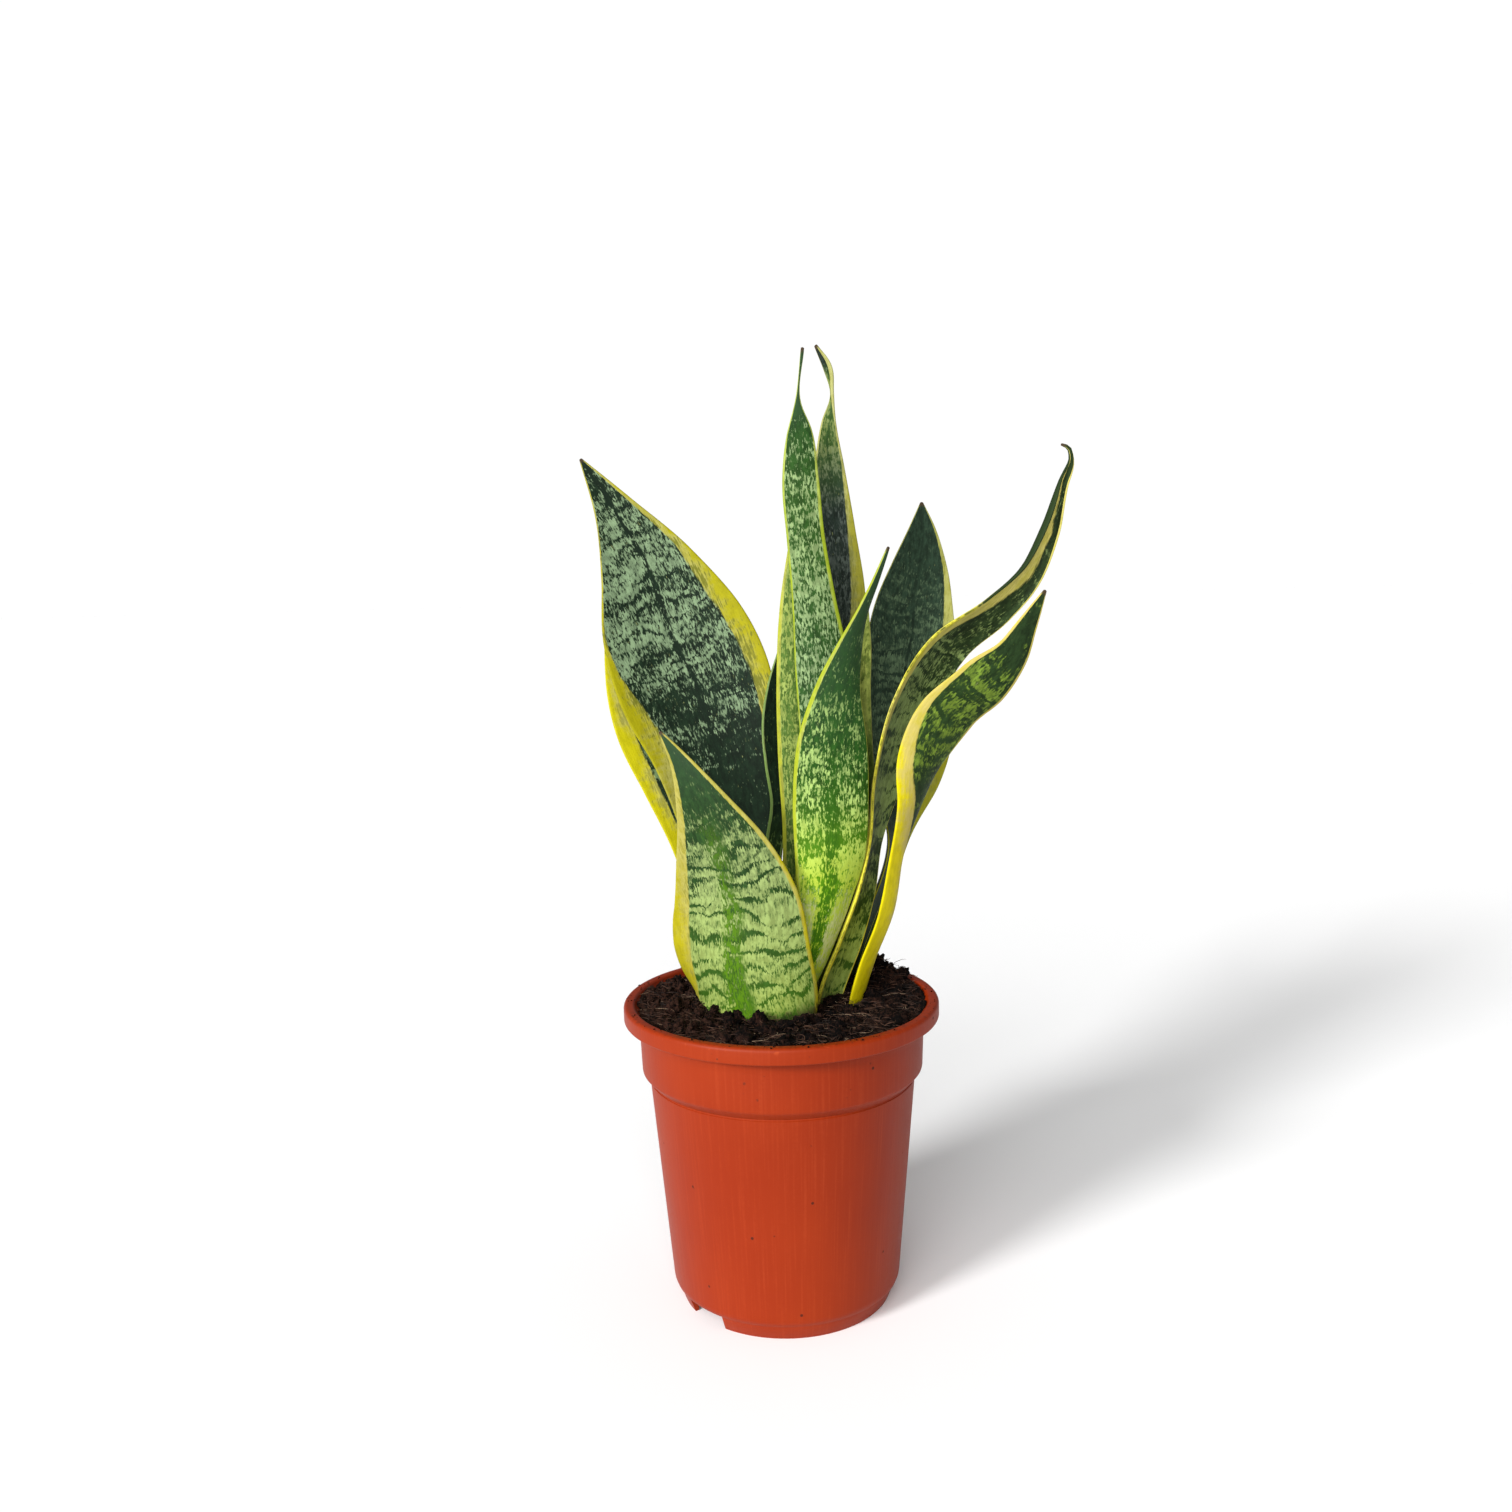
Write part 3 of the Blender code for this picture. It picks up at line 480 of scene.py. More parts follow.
def makeLeaf(name, look, material):
    rows, places = smoothRows(look["stations"], leafMake["ringSpacing"])
    tangents = np.gradient(rows[:, :3], axis=0)
    strips = leafMake["across"]
    points, place, edge, tone = [], [], [], []
    length = places[-1]
    for index, row in enumerate(rows):
        tangent = unit(tangents[index])
        fraction = index / (len(rows) - 1)
        halfWidth = max(row[3], leafMake["thinnest"])
        turn = math.radians(row[4])
        arc = math.radians(row[5])
        if abs(arc) < leafMake["leastArc"]:
            arc = leafMake["leastArc"]
        level = unit(np.array([1.0, 0.0, 0.0]) - tangent[0] * tangent)
        away = np.cross(tangent, level)
        widthWay = math.cos(turn) * level + math.sin(turn) * away
        depthWay = np.cross(tangent, widthWay)
        thickness = leafMake["middleThickness"]
        middle = thickness + (leafMake["tipThickness"] - thickness) * fraction ** 2
        middle = min(middle, 0.5 + halfWidth)
        thin = min(leafMake["marginThickness"], middle, halfWidth)
        flare, stretch = tableAt(look["flares"], row[2])
        section = sectionShape(halfWidth, arc, math.radians(flare), stretch)
        roundEnd = min(0.5, 0.5 * thin / halfWidth)
        leftWidth, rightWidth = tableAt(look["margins"], row[2])
        rowTone = tableAt(look["tones"], row[2])
        front, back = [], []
        for across, angle, wide, deep in zip(*section):
            centre = row[:3] + wide * widthWay + deep * depthWay
            outward = math.sin(angle) * widthWay + math.cos(angle) * depthWay
            thick = thin + (middle - thin) * (1.0 - across * across)
            past = (abs(across) - (1.0 - roundEnd)) / roundEnd
            if past > 0:
                thick *= math.sqrt(max(0.0, 1.0 - past * past))
            u = across * halfWidth
            spot = (u / leafMake["waveWide"], places[index] / leafMake["waveLong"], look["seed"] * 7.3)
            wave = leafMake["ripple"] * noise.noise(Vector(spot)) * min(1.0, 2.0 * (1.0 - fraction))
            centre = centre + wave * outward
            facts = ((u * mm, places[index] * mm, row[2] * mm),
                     ((halfWidth + u) / leftWidth, (halfWidth - u) / rightWidth,
                      (length - places[index]) * mm),
                     rowTone)
            front.append((centre - thick / 2 * outward, facts))
            back.append((centre + thick / 2 * outward, facts))
        ring = front + back[-2:0:-1]
        for point, facts in ring:
            points.append(point * mm)
            place.append(facts[0])
            edge.append(facts[1])
            tone.append(facts[2])
    sides = 2 * strips
    faces = ringFaces(len(rows), sides)
    faces.append(tuple(reversed(range(sides))))
    last = len(points) - sides
    points.append(rows[-1][:3] * mm + unit(tangents[-1]) * leafMake["thinnest"] * mm)
    place.append(place[-1])
    edge.append((1.0, 1.0, 0.0))
    tone.append(tone[-1])
    for side in range(sides):
        faces.append((last + side, last + (side + 1) % sides, len(points) - 1))
    piece = meshPiece(name, points, faces, material)
    writeAttribute(piece, "leafPlace", place)
    writeAttribute(piece, "leafEdge", edge)
    writeAttribute(piece, "leafTone", tone)
    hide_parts(look["node"])


leafSkin = {
    "olive": leafTint(104, 106, 24),
    "slate": leafTint(46, 68, 46),
    "brightLime": leafTint(182, 204, 54),
    "deepLime": leafTint(92, 146, 8),
    "wash": leafTint(200, 208, 134),
    "dryTip": leafTint(70, 56, 40),
    "dirt": leafTint(34, 26, 20),
    "wax": {"IOR": 1.42, "Specular IOR Level": 0.10},
    "relief": 0.00026,
    "soilTop": (0.1115, 0.1160),
}


def leafMaterial(name, look):
    material, r = newMaterial(name)
    across, along, height = r.attribute("leafPlace")
    left, right, toTip = r.attribute("leafEdge")
    darkShare, lime, wash = r.attribute("leafTone")
    seed = look["seed"] * 3.7

    # grains in a metre across and along the leaf, shift, detail, roughness
    def grain(wide, long, shift, detail, rough, way=along):
        return r.noise(r.place(across * wide, way * long, seed + shift), 1.0, detail, rough)

    # ragged fibres, narrow across the leaf and long along it, and short flecks
    fibre = grain(1900, 190, 0, 2.0, 0.6) - 0.5
    fleck = grain(1500, 470, 11, 3.0, 0.62) - 0.5
    clump = grain(360, 330, 17, 3.0, 0.6) - 0.5
    drift = grain(70, 60, 23, 1.0, 0.4) - 0.5
    # cross bands: broken blocks, and thin zigzag lines
    pushed = along + fibre * 0.0040 + fleck * 0.003 + drift * 0.012
    blocks = grain(40, 150, 31, 2.0, 0.6, pushed) - 0.5
    phase = (along + fibre * 0.0050 + fleck * 0.0022 + drift * 0.016) / look["band"]
    phase = phase + (grain(120, 100, 43, 1.0, 0.4) - 0.5) * 1.1
    gaps = grain(90, 170, 51, 2.0, 0.5) - 0.5
    line = 1.0 - abs(phase.maths("FRACT", phase) - 0.5) * 2.0
    lines = r.ease(line + gaps * 1.5 + fleck * 0.8, 0.70, 0.92)
    # midrib, wandering and broken
    wander = drift * 0.004 + (fleck * 1.5 + clump * 1.1) * look["ribWidth"]
    rib = 1.0 - r.ease(abs(across + wander), look["ribWidth"] * 0.05, look["ribWidth"] * 1.3)
    ribHere = (rib * r.ease(lime + clump * 0.3 + fleck * 0.3, -0.02, 0.24)
               + rib * (1.0 - look["ribLow"]) * r.ease(lime, -0.05, 0.0))
    ribHere = ribHere.least(1.0)
    darkness = (blocks * (2.2 * look["blocks"]) + lines * (0.62 * look["lines"])
                + fleck * (3.0 * look["flecks"]) + clump * 1.3 + fibre * 0.7
                + ribHere * (0.50 * look["rib"]) + (darkShare - 0.5) * 1.25)
    mask = r.ease(darkness, -0.25, 0.28)
    # greens
    tone = grain(520, 210, 67, 4.0, 0.7)
    pale = r.mix(r.ease(tone, 0.36, 0.64), look["pale"], dimmer(look["pale"], 0.58))
    pale = r.mix(lime, pale, leafSkin["brightLime"])
    dark = r.mix(r.ease(tone, 0.36, 0.66), dimmer(look["dark"], 0.7), dimmer(look["dark"], 1.5))
    dark = r.mix(lime, dark, leafSkin["deepLime"])
    slate = r.mix(mask * 0.6 + tone * 0.5, dimmer(leafSkin["slate"], 2.1), leafSkin["slate"])
    green = r.mix(lime * -3.0, r.mix(mask, pale, dark), slate)
    streaked = r.ease(fleck + fibre + clump * 0.8, -0.16, 0.12)
    green = r.mix(ribHere * (0.8 * look["rib"]) * streaked, green, look["ribTint"])
    washed = r.ease(wash + fleck * 1.1 + fibre * 0.7 + clump * 0.6 - rib * 0.6, 0.24, 0.60)
    green = r.mix(washed, green, leafSkin["wash"])
    # margins: yellow outside, cream inside, with green fibres running in
    near = left.least(right)
    inMargin = 1.0 - r.ease(near + fibre * 0.20 + fleck * 0.12 + clump * 0.10, 0.92, 1.04)
    patch = grain(70, 60, 79, 3.0, 0.6) - 0.5
    bars = grain(40, 330, 83, 2.0, 0.6) - 0.5
    low, high = look["creamFrom"]
    creamy = r.ease(near * 0.65 + patch * 1.5 + fibre * 0.6 + bars * 0.7
                    + r.ease(height, low * mm, high * mm) * 0.45
                    + (1.0 - r.ease(toTip, 0.035, 0.080)) * 0.35, 0.24, 0.80)
    margin = r.mix(creamy, look["yellow"], look["cream"])
    margin = r.mix(r.ease(tone, 0.40, 0.66) * 0.5, margin, dimmer(look["yellow"], 0.7))
    inked = r.ease(patch + fibre * 0.9 + fleck * 0.5 + bars * 0.3 + (near - 0.55) * 0.3, 0.02, 0.20)
    margin = r.mix(inked * look["olive"], margin, leafSkin["olive"])
    if look["rolled"]:
        low, high = look["rolled"]
        foldLine = r.ease(height, low * mm, high * mm) * 0.64
        folded = 1.0 - r.ease(left + fleck * 0.12 - foldLine, -0.03, 0.04)
        margin = r.mix(folded, margin, look["dark"])
    colour = r.mix(inMargin, green, margin)
    # dry point, and soil left on the foot
    colour = r.mix(1.0 - r.ease(toTip + fleck * 0.002, 0.0004, 0.0024), colour, leafSkin["dryTip"])
    soiled = (1.0 - r.ease(height + fleck * 0.008 + clump * 0.008, *leafSkin["soilTop"])) * 0.75
    colour = r.mix(soiled, colour, leafSkin["dirt"])
    roughness = look["shine"] + clump * 0.25 + fleck * 0.12 + soiled * 0.3
    ridges = grain(900, 22, 91, 2.0, 0.5)
    pores = grain(1900, 1500, 97, 1.0, 0.5)
    normal = r.bump(ridges + pores * 0.4 + mask * 0.10, 0.45, leafSkin["relief"])
    finishSurface(r, colour, roughness, normal, leafSkin["wax"])
    return material


for number, (name, ownLook) in enumerate(leafLooks.items(), 1):
    look = {**leafUsual, "seed": number, **ownLook}
    for part in ("ribTint", "pale", "dark", "yellow", "cream"):
        look[part] = leafTint(*look[part])
    makeLeaf(name, look, leafMaterial(name + "Skin", look))
print("leaves made:", len(leafLooks))


pot = {
    "segments": 288,
    "height": 116.0,
    "rimRadius": 60.0, "rimHeight": 6.2, "rimInner": 55.6,
    "collarTop": 54.3, "collarBottom": 53.6, "collarBottomHeight": 90.5,
    "wallTop": 50.7, "wallTopHeight": 87.0, "wallBottom": 44.0, "wallBottomHeight": 9.0,
    "footTop": 42.3, "footTopHeight": 5.8, "foot": 40.4, "ringWidth": 1.6,
    "wall": 1.2, "floorTop": 7.2, "pad": 14.0,
    "notchAngles": (222.5, 42.5), "notchSpread": 25.0, "notchHeight": 5.8,
    "drainHoles": 8, "drainRadius": 3.2, "drainCircle": 29.0,
    "colour": tint(137, 41, 3),
    "deep": tint(127, 34, 1),
    "faded": tint(162, 64, 28),
    "speck": tint(40, 22, 14),
    "gloss": {"IOR": 1.46, "Specular IOR Level": 0.17},
}


def arcPoints(radius, height, size, start, end, steps):
    angles = np.radians(np.linspace(start, end, steps + 1))
    return [(radius + size * math.cos(a), height + size * math.sin(a)) for a in angles]


def between(low, high, share):
    return low + (high - low) * share


# half section of the shell, from its pad round the outside to the floor inside
def potOutline():
    low = pot["height"] - pot["rimHeight"]
    ringInner = pot["foot"] - pot["ringWidth"]
    under = pot["floorTop"] - pot["wall"]
    inside = pot["wall"]
    outline = [(pot["pad"], 0.0), (pot["pad"] + 2.0, under), (ringInner + 0.6, under), (ringInner, 0.3)]
    outline += [(ringInner + 0.3, 0.0), (pot["foot"] - 0.3, 0.0), (pot["foot"], 0.3)]
    outline += [(pot["footTop"] - 0.1, pot["footTopHeight"] - 0.5),
                (pot["footTop"] + 0.1, pot["footTopHeight"] + 0.1),
                (pot["wallBottom"] - 0.7, pot["footTopHeight"] + 0.8), (pot["wallBottom"] - 0.15, 8.0)]
    for step in range(12):
        share = step / 11
        outline.append((between(pot["wallBottom"], pot["wallTop"], share),
                        between(pot["wallBottomHeight"], pot["wallTopHeight"] - 0.6, share)))
    outline += [(pot["wallTop"] - 0.30, pot["wallTopHeight"] - 0.35)]
    outline += [(pot["wallTop"] - 0.34, pot["wallTopHeight"] + 0.1)]
    outline += [(pot["wallTop"] + 0.1, pot["wallTopHeight"] + 0.5)]
    outline += [(pot["collarBottom"] - 0.7, pot["collarBottomHeight"] - 0.8)]
    outline += [(pot["collarBottom"] - 0.12, pot["collarBottomHeight"] - 0.1)]
    outline += [(pot["collarBottom"], pot["collarBottomHeight"] + 0.5)]
    for step in range(1, 5):
        share = step / 4
        outline.append((between(pot["collarBottom"], pot["collarTop"], share),
                        between(pot["collarBottomHeight"], low - 0.5, share)))
    outline += [(pot["collarTop"] + 0.25, low - 0.05), (pot["rimRadius"] - 1.2, low)]
    outline += arcPoints(pot["rimRadius"] - 0.8, low + 0.8, 0.8, -75, 0, 5)
    outline += arcPoints(pot["rimRadius"] - 1.5, pot["height"] - 1.5, 1.5, 0, 90, 9)
    outline += arcPoints(pot["rimInner"] + 1.3, pot["height"] - 1.3, 1.3, 90, 175, 8)
    outline += [(pot["collarTop"] - inside + 0.25, pot["height"] - 3.4)]
    outline += [(pot["collarTop"] - inside, pot["height"] - 4.2)]
    outline += [(pot["collarBottom"] - inside, pot["collarBottomHeight"] - 0.6)]
    outline += [(pot["wallTop"] - inside, pot["wallTopHeight"] - 1.0)]
    outline += [(pot["wallBottom"] - inside, 12.0), (pot["wallBottom"] - inside - 0.6, 9.0)]
    outline += [(pot["wallBottom"] - inside - 2.4, pot["floorTop"]), (pot["pad"] + 1.0, pot["floorTop"])]
    outline += [(pot["pad"] - 1.0, pot["wall"])]
    return outline


def turnedPoints(outline, segments):
    points = []
    for radius, height in outline:
        for step in range(segments):
            angle = 2 * math.pi * step / segments
            points.append(Vector((radius * math.cos(angle), radius * math.sin(angle), height)) * mm)
    return points


# cuts one closed shape out of a piece
def hollow(piece, points, faces):
    mesh = bpy.data.meshes.new("cutter")
    mesh.from_pydata([Vector(p) * mm for p in points], [], faces)
    shape = bmesh.new()
    shape.from_mesh(mesh)
    bmesh.ops.recalc_face_normals(shape, faces=shape.faces)
    shape.to_mesh(mesh)
    shape.free()
    cutter = newObject("cutter", mesh)
    modifier = piece.modifiers.new("cut", "BOOLEAN")
    modifier.operation = "DIFFERENCE"
    modifier.solver = "EXACT"
    modifier.object = cutter
    bpy.context.view_layer.update()
    carved = bpy.data.meshes.new_from_object(piece.evaluated_get(bpy.context.evaluated_depsgraph_get()))
    piece.modifiers.clear()
    piece.data = carved
    bpy.data.objects.remove(cutter, do_unlink=True)


def barShape(corners, low, high):
    count = len(corners)
    points = [(x, y, z) for z in (low, high) for x, y in corners]
    faces = ringFaces(2, count) + [tuple(range(count)), tuple(range(count, 2 * count))]
    return points, faces


def potMaterial():
    material, r = newMaterial("potPlastic")
    spot = r.ownPlace()
    x, y, z = r.parts(spot)
    reach = (x * x + y * y).maths("SQRT", x * x + y * y) + 0.0001
    around = r.place(x / reach * 60.0, y / reach * 60.0, z * 26.0)
    rings = r.place(x * 40.0, y * 40.0, z * 1700.0)
    cloud = r.noise(spot, 18.0, 3.0, 0.5)
    flow = r.noise(around, 1.0, 2.0, 0.5)
    fine = r.noise(spot, 900.0, 2.0, 0.6)
    ringed = r.noise(rings, 1.0, 2.0, 0.6)
    scratches = r.ease(r.noise(r.place(x * 260.0, y * 2600.0, z * 300.0), 1.0, 2.0, 0.5), 0.66, 0.72)
    rimTop = r.ease(z, 0.1135, 0.1150)
    colour = r.mix(r.ease(cloud, 0.25, 0.8), pot["deep"], pot["colour"])
    colour = r.mix(r.ease(flow + (fine - 0.5) * 0.3, 0.45, 0.9) * 0.28, colour, pot["faded"])
    scored = scratches * (rimTop * 0.6 + 0.04)
    colour = r.mix(scored, colour, pot["faded"])
    specks = r.add("TexVoronoi", None, {"Vector": spot, "Scale": 240.0}, out="Distance")
    chance = r.noise(spot, 85.0, 2.0, 0.6)
    nearRim = r.ease(z, 0.09, 0.116) * 0.05
    specked = (1.0 - r.ease(specks, 0.10, 0.17)) * r.ease(chance + nearRim, 0.60, 0.66)
    colour = r.mix(specked * 0.8, colour, pot["speck"])
    dusty = r.ease(r.noise(spot, 520.0, 4.0, 0.7), 0.50, 0.66) * r.ease(z, 0.1152, 0.1160)
    colour = r.mix(dusty * 0.38, colour, pot["speck"])
    roughness = 0.48 + (cloud - 0.5) * 0.2 + (fine - 0.5) * 0.12 + scored * 0.25 + specked * 0.3
    height = ringed * 0.10 + fine * 0.14 + flow * 0.12 + scored * 0.4 + specked * 1.6
    finishSurface(r, colour, roughness, r.bump(height, 0.30, 0.00018), pot["gloss"])
    return material


def makePot():
    outline = potOutline()
    segments = pot["segments"]
    points = turnedPoints(outline, segments)
    faces = ringFaces(len(outline), segments)
    faces += [tuple(range(len(points) - segments, len(points))), tuple(reversed(range(segments)))]
    piece = meshPiece("potShell", points, faces, potMaterial())
    for angle in pot["notchAngles"]:
        corners = []
        for radius, side in ((-4, -0.5), (5, -0.5), (5, 0.5), (-4, 0.5)):
            way = math.radians(angle + side * pot["notchSpread"])
            corners.append(((pot["foot"] + radius) * math.cos(way), (pot["foot"] + radius) * math.sin(way)))
        hollow(piece, *barShape(corners, -1.0, pot["notchHeight"]))
    for number in range(pot["drainHoles"]):
        way = 2 * math.pi * (number + 0.5) / pot["drainHoles"]
        corners = []
        for step in range(28):
            turn = 2 * math.pi * step / 28
            corners.append((pot["drainCircle"] * math.cos(way) + pot["drainRadius"] * math.cos(turn),
                            pot["drainCircle"] * math.sin(way) + pot["drainRadius"] * math.sin(turn)))
        hollow(piece, *barShape(corners, pot["floorTop"] - pot["wall"] - 1.0, pot["floorTop"] + 1.0))
    piece.data.shade_smooth()
    piece.data.set_sharp_from_angle(angle=math.radians(38))
    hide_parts("pot")


makePot()
print("pot made")


soil = {
    "level": 112.0, "lump": 2.2, "lumpSize": 10.0, "edgeRise": 2.6,
    "rimLevel": 115.2, "rimSlope": 58.0,
    "mounds": ((43.0, 27.0, 9.0, 12.0), (-25.0, -4.0, 2.6, 11.0)),
    "edge": 55.2, "rings": 80, "segments": 340,
    "side": ((11.0, 1.7), (13.6, 7.7), (39.2, 7.7), (41.8, 11.0), (48.4, 86.0), (51.8, 89.5), (52.6, 104.0)),
    "strandSides": 5, "strandSteps": 12,
    "rimBand": (55.9, 59.4),
    # black is the grit's own colour and also the painted shade in the soil's hollows
    "dark": tint(8, 5, 4), "brown": tint(50, 31, 23), "black": tint(2, 1, 1),
}
# sizes, lengths, thicknesses and reach from the middle are in mm, lift is a share of the size
clodKinds = {
    "soilClods": {"count": 520, "sizes": (0.5, 3.2), "reach": 52.0, "lift": 0.25},
    "soilGrit": {"count": 1100, "sizes": (0.22, 0.7), "reach": 52.4, "lift": 0.5},
    "rimCrumbs": {"count": 110, "sizes": (0.12, 0.42), "reach": None, "lift": 0.0},
}
strandKinds = {
    "soilFibres": {
        "count": 3000, "lengths": (1.6, 8.0), "thicks": (0.09, 0.30), "rise": 0.7, "reach": 54.0},
    "soilPaleFibres": {
        "count": 120, "lengths": (4.0, 12.0), "thicks": (0.09, 0.18), "rise": 0.3, "reach": 53.0},
}
dice = random.Random(12)


def soilHeight(x, y):
    lumps = noise.fractal(Vector((x, y, 3.0)) / soil["lumpSize"], 1.0, 2.0, 3)
    height = soil["level"] + soil["lump"] * lumps
    for moundX, moundY, rise, spread in soil["mounds"]:
        away = math.hypot(x - moundX, y - moundY) / spread
        height += rise * math.exp(-away * away)
    out = min(1.0, math.hypot(x, y) / soil["edge"])
    height += soil["edgeRise"] * out ** 4 * (1.0 if y > 0 else 1.0 + y / 90.0)
    height += 1.9 * noise.noise(Vector((x, y, 9.0)) / 4.2)
    height += 0.8 * noise.noise(Vector((x, y, 17.0)) / 1.9)
    height += 0.55 * noise.noise(Vector((x, y, 29.0)) / 0.9)
    return min(height, soil["rimLevel"] + soil["rimSlope"] * (1.0 - out))


def soilMaterial(name, base, other, spread):
    material, r = newMaterial(name)
    spot = r.ownPlace()
    coarse = r.noise(spot, 160.0, 4.0, 0.6)
    fine = r.noise(spot, 900.0, 4.0, 0.7)
    drawn = r.add("VectorMath", {"operation": "MULTIPLY"}, {0: spot, 1: (2600.0, 380.0, 900.0)})
    hairs = r.noise(drawn, 1.0, 2.0)
    x, y, z = r.parts(spot)
    leftSide = (1.0 - r.ease(x + y * 0.3, -0.048, -0.012)) * 0.30
    colour = r.mix(r.ease(coarse + (fine - 0.5) * spread + leftSide, 0.42, 0.74), base, other)
    # painted shade: near-black where the fine noise is low, which is also where the bump sinks, darkens the
    # soil's hollows
    colour = r.mix(r.ease(fine, 0.40, 0.54), soil["black"], colour)
    colour = r.mix(r.ease(hairs, 0.62, 0.70) * 0.7, colour, dimmer(soil["brown"], 1.5))
    roughness = 0.92 + (fine - 0.5) * 0.3
    normal = r.bump(coarse * 0.6 + fine + hairs * 0.5, 0.9, 0.0011)
    finishSurface(r, colour, roughness, normal, {"Specular IOR Level": 0.08})
    return material


def makeSoilBed(material):
    segments = soil["segments"]
    points = turnedPoints(soil["side"], segments)
    for ring in range(soil["rings"], 0, -1):
        radius = soil["edge"] * ring / soil["rings"]
        for step in range(segments):
            angle = 2 * math.pi * step / segments
            x, y = radius * math.cos(angle), radius * math.sin(angle)
            points.append(Vector((x, y, soilHeight(x, y))) * mm)
    faces = ringFaces(len(points) // segments, segments)
    faces.append(tuple(reversed(range(segments))))
    last = len(points) - segments
    points.append(Vector((0, 0, soilHeight(0, 0))) * mm)
    for step in range(segments):
        faces.append((last + step, last + (step + 1) % segments, len(points) - 1))
    piece = meshPiece("soilBed", points, faces, material)
    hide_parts("soil")


def spotOnSoil(reach):
    radius = reach * math.sqrt(dice.random())
    angle = dice.uniform(0, 2 * math.pi)
    return radius * math.cos(angle), radius * math.sin(angle)


def spotOnRim():
    angle = dice.uniform(0, 2 * math.pi)
    radius = dice.uniform(*soil["rimBand"])
    return radius * math.cos(angle), radius * math.sin(angle)


def ballShape(level):
    shape = bmesh.new()
    bmesh.ops.create_icosphere(shape, subdivisions=level, radius=1.0)
    points = [v.co.copy() for v in shape.verts]
    faces = [tuple(v.index for v in f.verts) for f in shape.faces]
    shape.free()
    return points, faces


# lumps with rough skins, on the soil or, where a kind has no reach, on the rim
def scatterClods(name, material):
    kind = clodKinds[name]
    least, most = kind["sizes"]
    ball, ballFaces = ballShape(3)
    points, faces = [], []
    for _ in range(kind["count"]):
        x, y = spotOnSoil(kind["reach"]) if kind["reach"] else spotOnRim()
        size = dice.uniform(0, 1) ** 2.2 * (most - least) + least
        level = soilHeight(x, y) if kind["reach"] else pot["height"] + 0.12
        z = level + size * kind["lift"]
        squash = Vector((dice.uniform(0.7, 1.3), dice.uniform(0.7, 1.2), dice.uniform(0.5, 0.95)))
        spin = Matrix.Rotation(dice.uniform(0, 6.28), 3, "Z") @ Matrix.Rotation(dice.uniform(0, 1.2), 3, "X")
        start = len(points)
        shift = Vector((dice.uniform(0, 90), dice.uniform(0, 90), dice.uniform(0, 90)))
        for point in ball:
            rough = 1 + 0.55 * noise.noise(point * 1.3 + shift) + 0.5 * noise.noise(point * 3.2 + shift)
            rough += 0.30 * noise.noise(point * 7.0 + shift)
            body = Vector((point.x * squash.x, point.y * squash.y, point.z * squash.z)) * rough * size
            points.append((spin @ body + Vector((x, y, z))) * mm)
        faces += [tuple(start + i for i in face) for face in ballFaces]
    meshPiece(name, points, faces, material)


def strandPoints(x, y, length, thick, rise):
    sides, steps = soil["strandSides"], soil["strandSteps"]
    heading = dice.uniform(0, 2 * math.pi)
    curl = dice.uniform(-1, 1) * 2.4
    climb = dice.uniform(-0.2, rise)
    rings = []
    z = soilHeight(x, y) + dice.uniform(-0.2, 0.7)
    for step in range(steps + 1):
        share = step / steps
        fade = math.sin(math.pi * min(1.0, 0.15 + 0.85 * share)) ** 0.4 if share < 1 else 0.25
        forward = Vector((math.cos(heading), math.sin(heading), climb * (1 - 1.6 * share)))
        sideWay = forward.cross(Vector((0, 0, 1))).normalized()
        upWay = sideWay.cross(forward).normalized()
        for side in range(sides):
            angle = 2 * math.pi * side / sides
            arm = (math.cos(angle) * sideWay + math.sin(angle) * upWay) * thick * fade / 2
            rings.append((Vector((x, y, z)) + arm) * mm)
        stride = length / steps
        x += forward.x * stride
        y += forward.y * stride
        z += forward.z * stride
        heading += curl / steps + dice.uniform(-0.28, 0.28)
    return rings


def scatterStrands(name, material):
    kind = strandKinds[name]
    sides, steps = soil["strandSides"], soil["strandSteps"]
    points, faces = [], []
    for _ in range(kind["count"]):
        x, y = spotOnSoil(kind["reach"])
        length, thick = dice.uniform(*kind["lengths"]), dice.uniform(*kind["thicks"])
        rings = strandPoints(x, y, length, thick, kind["rise"])
        if max(math.hypot(p.x, p.y) for p in rings) > (soil["edge"] + 1.5) * mm:
            continue
        start = len(points)
        points += rings
        faces += [tuple(start + i for i in face) for face in ringFaces(steps + 1, sides)]
        faces.append(tuple(start + i for i in reversed(range(sides))))
        faces.append(tuple(start + steps * sides + i for i in range(sides)))
    meshPiece(name, points, faces, material)


def strandMaterial(name, first, second):
    material, r = newMaterial(name)
    spot = r.ownPlace()
    patches = r.noise(spot, 210.0, 3.0, 0.6)
    fine = r.noise(spot, 2400.0, 2.0, 0.6)
    colour = r.mix(r.ease(patches + (fine - 0.5) * 0.4, 0.36, 0.66), first, second)
    normal = r.bump(fine, 0.5, 0.00012)
    finishSurface(r, colour, 0.72 + (fine - 0.5) * 0.3, normal, {"Specular IOR Level": 0.3})
    return material


peat = soilMaterial("peat", soil["dark"], soil["brown"], 0.7)
makeSoilBed(peat)
scatterClods("soilClods", peat)
scatterClods("soilGrit", soilMaterial("gritPeat", soil["black"], soil["brown"], 0.9))
darkStrand = strandMaterial("darkStrand", tint(20, 13, 10), tint(78, 52, 38))
paleStrand = strandMaterial("paleStrand", tint(104, 80, 60), tint(172, 148, 122))
scatterStrands("soilFibres", darkStrand)
scatterStrands("soilPaleFibres", paleStrand)
scatterClods("rimCrumbs", peat)
print("soil made")


stem = {"skin": tint(188, 142, 84), "scar": tint(120, 78, 42)}


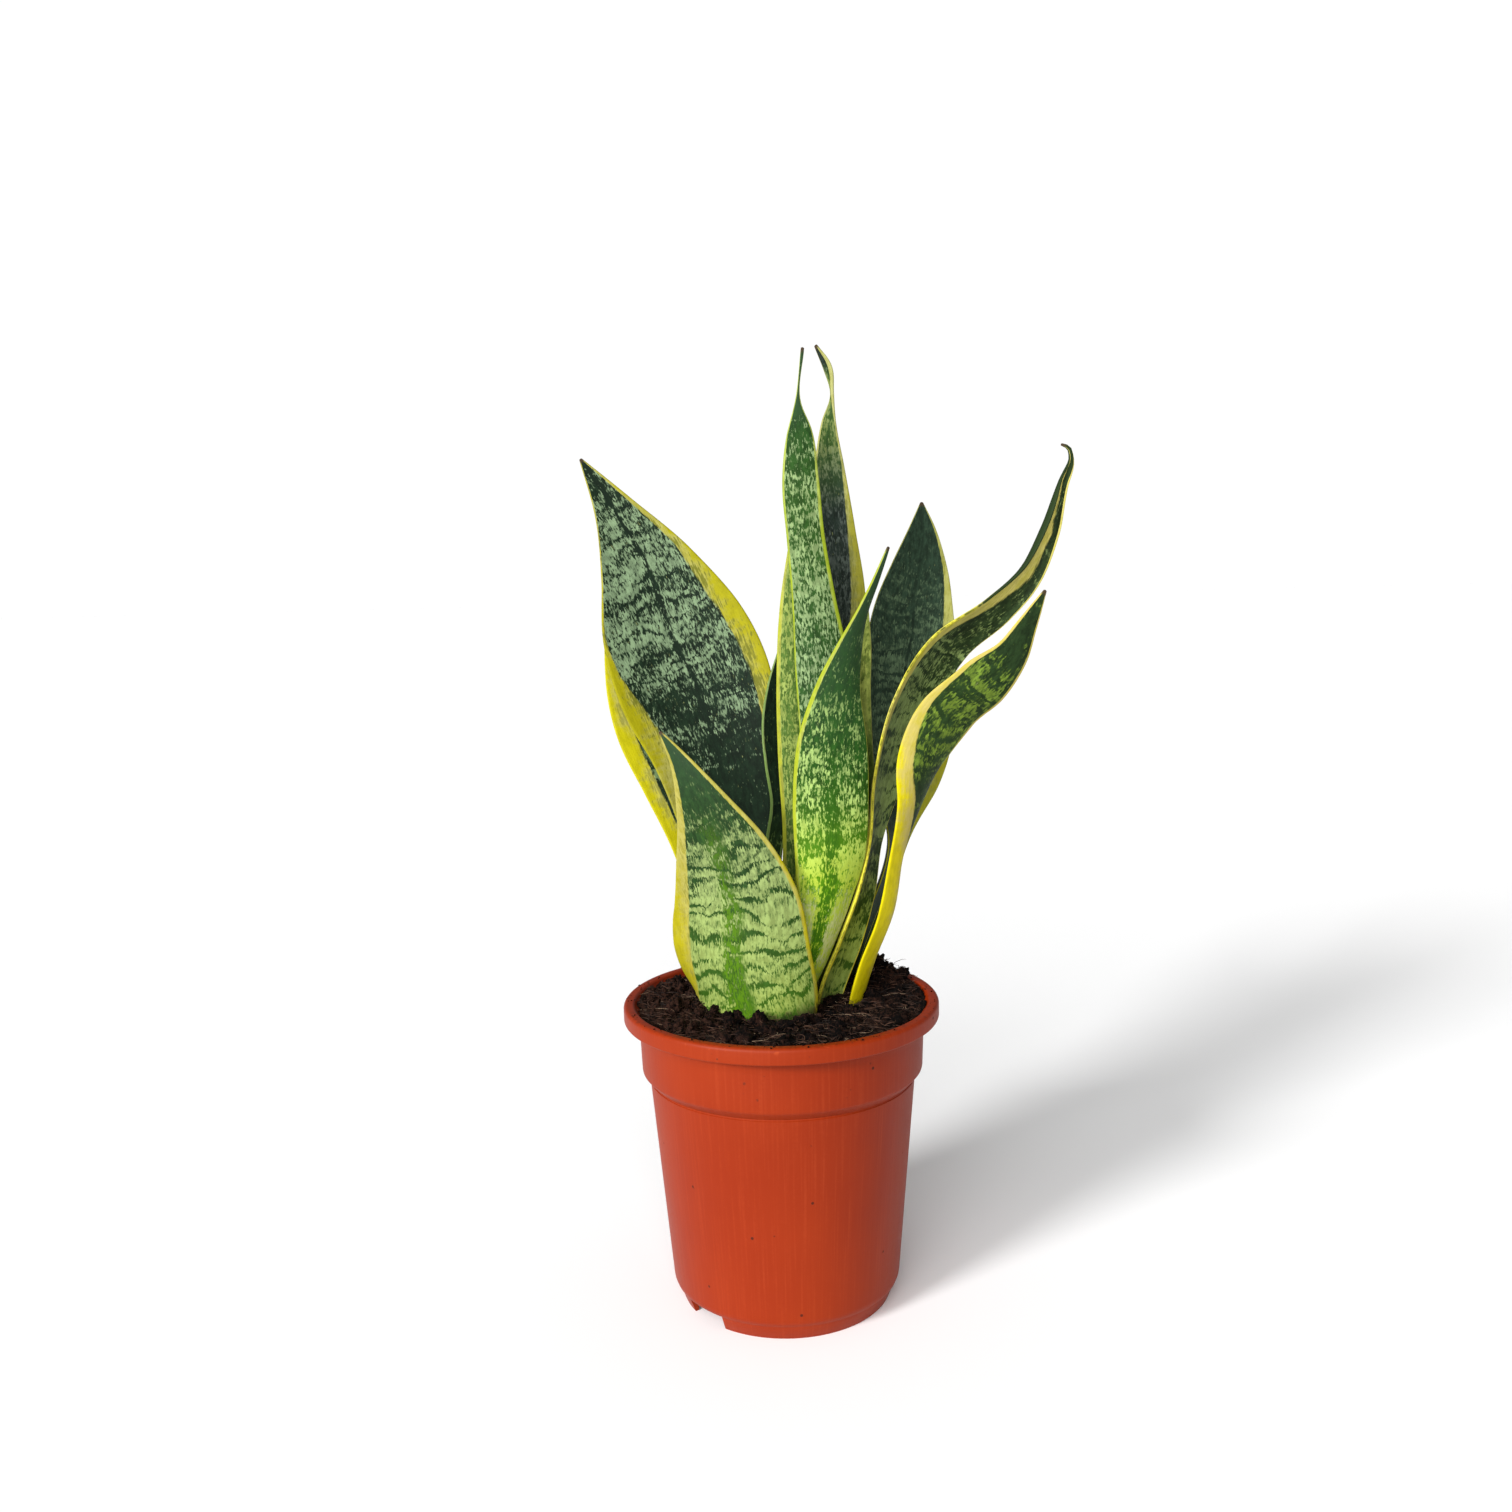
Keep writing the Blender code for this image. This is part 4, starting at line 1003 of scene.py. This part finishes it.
def rhizomeMaterial():
    material, r = newMaterial("rhizomeSkin")
    spot = r.ownPlace()
    x, y, z = r.parts(spot)
    rings = r.noise(r.place(x * 520.0, y * 60.0, z * 60.0), 1.0, 2.0, 0.5)
    fine = r.noise(spot, 700.0, 3.0, 0.6)
    colour = r.mix(r.ease(rings + (fine - 0.5) * 0.4, 0.35, 0.65), stem["scar"], stem["skin"])
    normal = r.bump(rings + fine * 0.4, 0.5, 0.0006)
    finishSurface(r, colour, 0.55 + (fine - 0.5) * 0.3, normal, {"Specular IOR Level": 0.4})
    return material


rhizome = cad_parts["rhizome"]
rhizome.data.materials.clear()
rhizome.data.materials.append(rhizomeMaterial())


studio = {
    "floor": tint(254, 254, 254),
    "floorHalf": 40.0,
    "ambient": 0.29, "sky": 1.02,
    # each light's way, its spread in degrees and its strength
    "lights": (((1.0, 0.95, -0.58), 14.0, 3.5), ((0.24, 1.0, -0.45), 50.0, 2.6)),
}
# the camera's place in m and its own axes
lens = {
    "place": (0.0, -0.5, 0.27013), "focal": 32.015, "sensor": 36.0,
    "right": (0.999648, 0.011712, -0.023795),
    "up": (0.022193, 0.121802, 0.992306),
    "back": (0.01452, -0.992485, 0.121500),
}


def makeFloor():
    half = studio["floorHalf"]
    mesh = bpy.data.meshes.new("floor")
    corners = [(-half, -half, 0), (half, -half, 0), (half, half, 0), (-half, half, 0)]
    mesh.from_pydata(corners, [], [(0, 1, 2, 3)])
    floor = newObject("floor", mesh)
    material, r = newMaterial("floorPaint")
    spot = r.ownPlace()
    soft = r.noise(spot, 3.0, 2.0, 0.5)
    normal = r.bump(r.noise(spot, 400.0, 2.0, 0.5), 0.02, 0.0002)
    finishSurface(r, studio["floor"], 0.9 + (soft - 0.5) * 0.05, normal, {"Specular IOR Level": 0.1})
    mesh.materials.append(material)


def makeLights():
    for way, spread, strength in studio["lights"]:
        data = bpy.data.lights.new("studioLight", "SUN")
        data.energy = strength
        data.angle = math.radians(spread)
        light = newObject("studioLight", data)
        light.rotation_euler = Vector(way).to_track_quat("-Z", "Y").to_euler()


def makeWorld():
    world = bpy.data.worlds.new("studioAir")
    world.use_nodes = True
    r = Recipe(world.node_tree)
    seen = r.add("LightPath", None, None, out="Is Camera Ray")
    strength = seen * (studio["sky"] - studio["ambient"]) + studio["ambient"]
    sky = r.add("Background", None, {"Color": (1.0, 1.0, 1.0, 1.0), "Strength": strength})
    r.add("OutputWorld", None, {"Surface": sky})
    scene.world = world


def makeCamera():
    data = bpy.data.cameras.new("camera")
    data.lens = lens["focal"]
    data.sensor_width = lens["sensor"]
    data.clip_start = 0.01
    camera = newObject("camera", data)
    columns = [lens[key] for key in ("right", "up", "back", "place")]
    camera.matrix_world = Matrix([*zip(*columns), (0, 0, 0, 1)])
    scene.camera = camera


makeFloor()
makeLights()
makeWorld()
makeCamera()
scene.view_settings.view_transform = "Standard"
print("stage, light and camera set")
